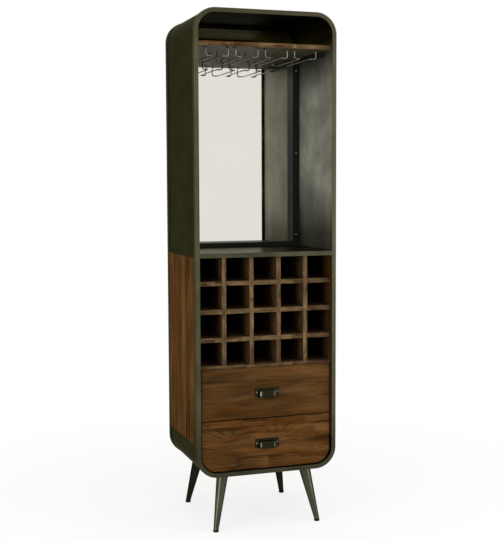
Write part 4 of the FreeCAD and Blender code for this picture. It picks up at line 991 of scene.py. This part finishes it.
class CABINET_OT_screws(bpy.types.Operator):
    """Seats the small screws of the stiles, racks, brackets and lower back panel"""
    bl_idname = "cabinet.screws"
    bl_label = "Small screws"

    def execute(self, context):
        parts = context.scene.cabinet_parts
        zinc = bpy.data.materials["bright_zinc_plating"]
        black = bpy.data.materials["black_powder_coat"]
        size, rise = parts.screw_head, parts.screw_rise
        forward, back = Vector((0, -1, 0)), Vector((0, 1, 0))
        left, down = Vector((-1, 0, 0)), Vector((0, 0, -1))

        spots = []
        for stile in STILES:
            low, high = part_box(stile)
            for share in (0.06, 0.5, 0.94):
                spot = Vector(((low.x + high.x) / 2, low.y, part_way(low.z, high.z, share)))
                spots.append((spot, forward))
        seat_screws("stile_screws", "cabinet", spots, size, rise, zinc, SLOTS["leg_bolts"])

        spots = []
        for rack in RACKS:
            low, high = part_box(rack)
            for x in (low.x + RACK_TAB_WIDTH / 2, high.x - RACK_TAB_WIDTH / 2):
                for y in (low.y + RACK_END_TO_SCREW, high.y - RACK_END_TO_SCREW):
                    spots.append((Vector((x, y, high.z - RACK_TAB_THICKNESS)), down))
        seat_screws("rack_screws", "cabinet", spots, size * 0.85, rise, black, SLOTS["shelf_cleats"])

        spots = []
        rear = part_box("lower_back_panel")[1].y
        for divider in DIVIDERS:
            low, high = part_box(divider)
            for share in (0.12, 0.5, 0.88):
                spot = Vector(((low.x + high.x) / 2, rear, part_way(low.z, high.z, share)))
                spots.append((spot, back))
        low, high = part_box("wine_base_board")
        for share in (0.08, 0.5, 0.92):
            spot = Vector((part_way(low.x, high.x, share), rear, (low.z + high.z) / 2))
            spots.append((spot, back))
        seat_screws("back_screws", "cabinet", spots, size, rise, black, SLOTS["shelf_cleats"])

        spots = []
        out = parts.bracket_leg * 0.65
        for divider in BRACKETED_DIVIDERS:
            low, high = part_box(divider)
            y = low.y + BRACKET_INSET + parts.bracket_width / 2
            spots.append((Vector((low.x - parts.bracket_sheet, y, high.z - out)), left))
            spots.append((Vector((low.x - out, y, high.z - parts.bracket_sheet)), down))
        seat_screws("bracket_screws", "cabinet", spots, size * 0.8, rise, zinc, SLOTS["leg_bolts"])
        return {"FINISHED"}


class CABINET_OT_stage(bpy.types.Operator):
    """Makes the floor, the soft light and the camera"""
    bl_idname = "cabinet.stage"
    bl_label = "Stage"

    def execute(self, context):
        scene = context.scene
        scene.view_settings.view_transform = "Standard"
        make_floor(scene, scene.cabinet_stage)
        make_surroundings(scene, scene.cabinet_stage)
        hang_lamps(scene, scene.cabinet_stage)
        set_camera(scene)
        return {"FINISHED"}


OPERATORS = (
    CABINET_OT_steel_shell, CABINET_OT_wooden_sides, CABINET_OT_wine_lattice,
    CABINET_OT_drawer_fronts, CABINET_OT_drawer_boxes, CABINET_OT_back_panels, CABINET_OT_mirror,
    CABINET_OT_stemware, CABINET_OT_slides, CABINET_OT_pulls, CABINET_OT_legs,
    CABINET_OT_brackets, CABINET_OT_screws, CABINET_OT_stage,
)
GROUPS = {
    "cabinet_walnut": WalnutFinish,
    "cabinet_steel": SteelFinish,
    "cabinet_parts": SmallParts,
    "cabinet_stage": StageSettings,
}


class CABINET_PT_sidebar(bpy.types.Panel):
    """Lists the cabinet's sizes, colours and pieces"""
    bl_idname = "CABINET_PT_sidebar"
    bl_label = "Bar cabinet"
    bl_space_type = "VIEW_3D"
    bl_region_type = "UI"
    bl_category = "Cabinet"

    def draw(self, context):
        for group, kind in GROUPS.items():
            box = self.layout.box()
            for name in kind.__annotations__:
                box.prop(getattr(context.scene, group), name)
        for operator in OPERATORS:
            self.layout.operator(operator.bl_idname)


CLASSES = (*GROUPS.values(), *OPERATORS, CABINET_PT_sidebar)


def register():
    """Registers the settings, the operators and the panel."""
    for kind in CLASSES:
        bpy.utils.register_class(kind)
    for group, kind in GROUPS.items():
        setattr(bpy.types.Scene, group, bpy.props.PointerProperty(type=kind))


def unregister():
    """Takes back what register did."""
    for group in GROUPS:
        delattr(bpy.types.Scene, group)
    for kind in reversed(CLASSES):
        bpy.utils.unregister_class(kind)


def main():
    """Runs every operator in order."""
    register()
    for operator in OPERATORS:
        name = operator.bl_idname.split(".")[1]
        getattr(bpy.ops.cabinet, name)()


if __name__ == "__main__":
    main()
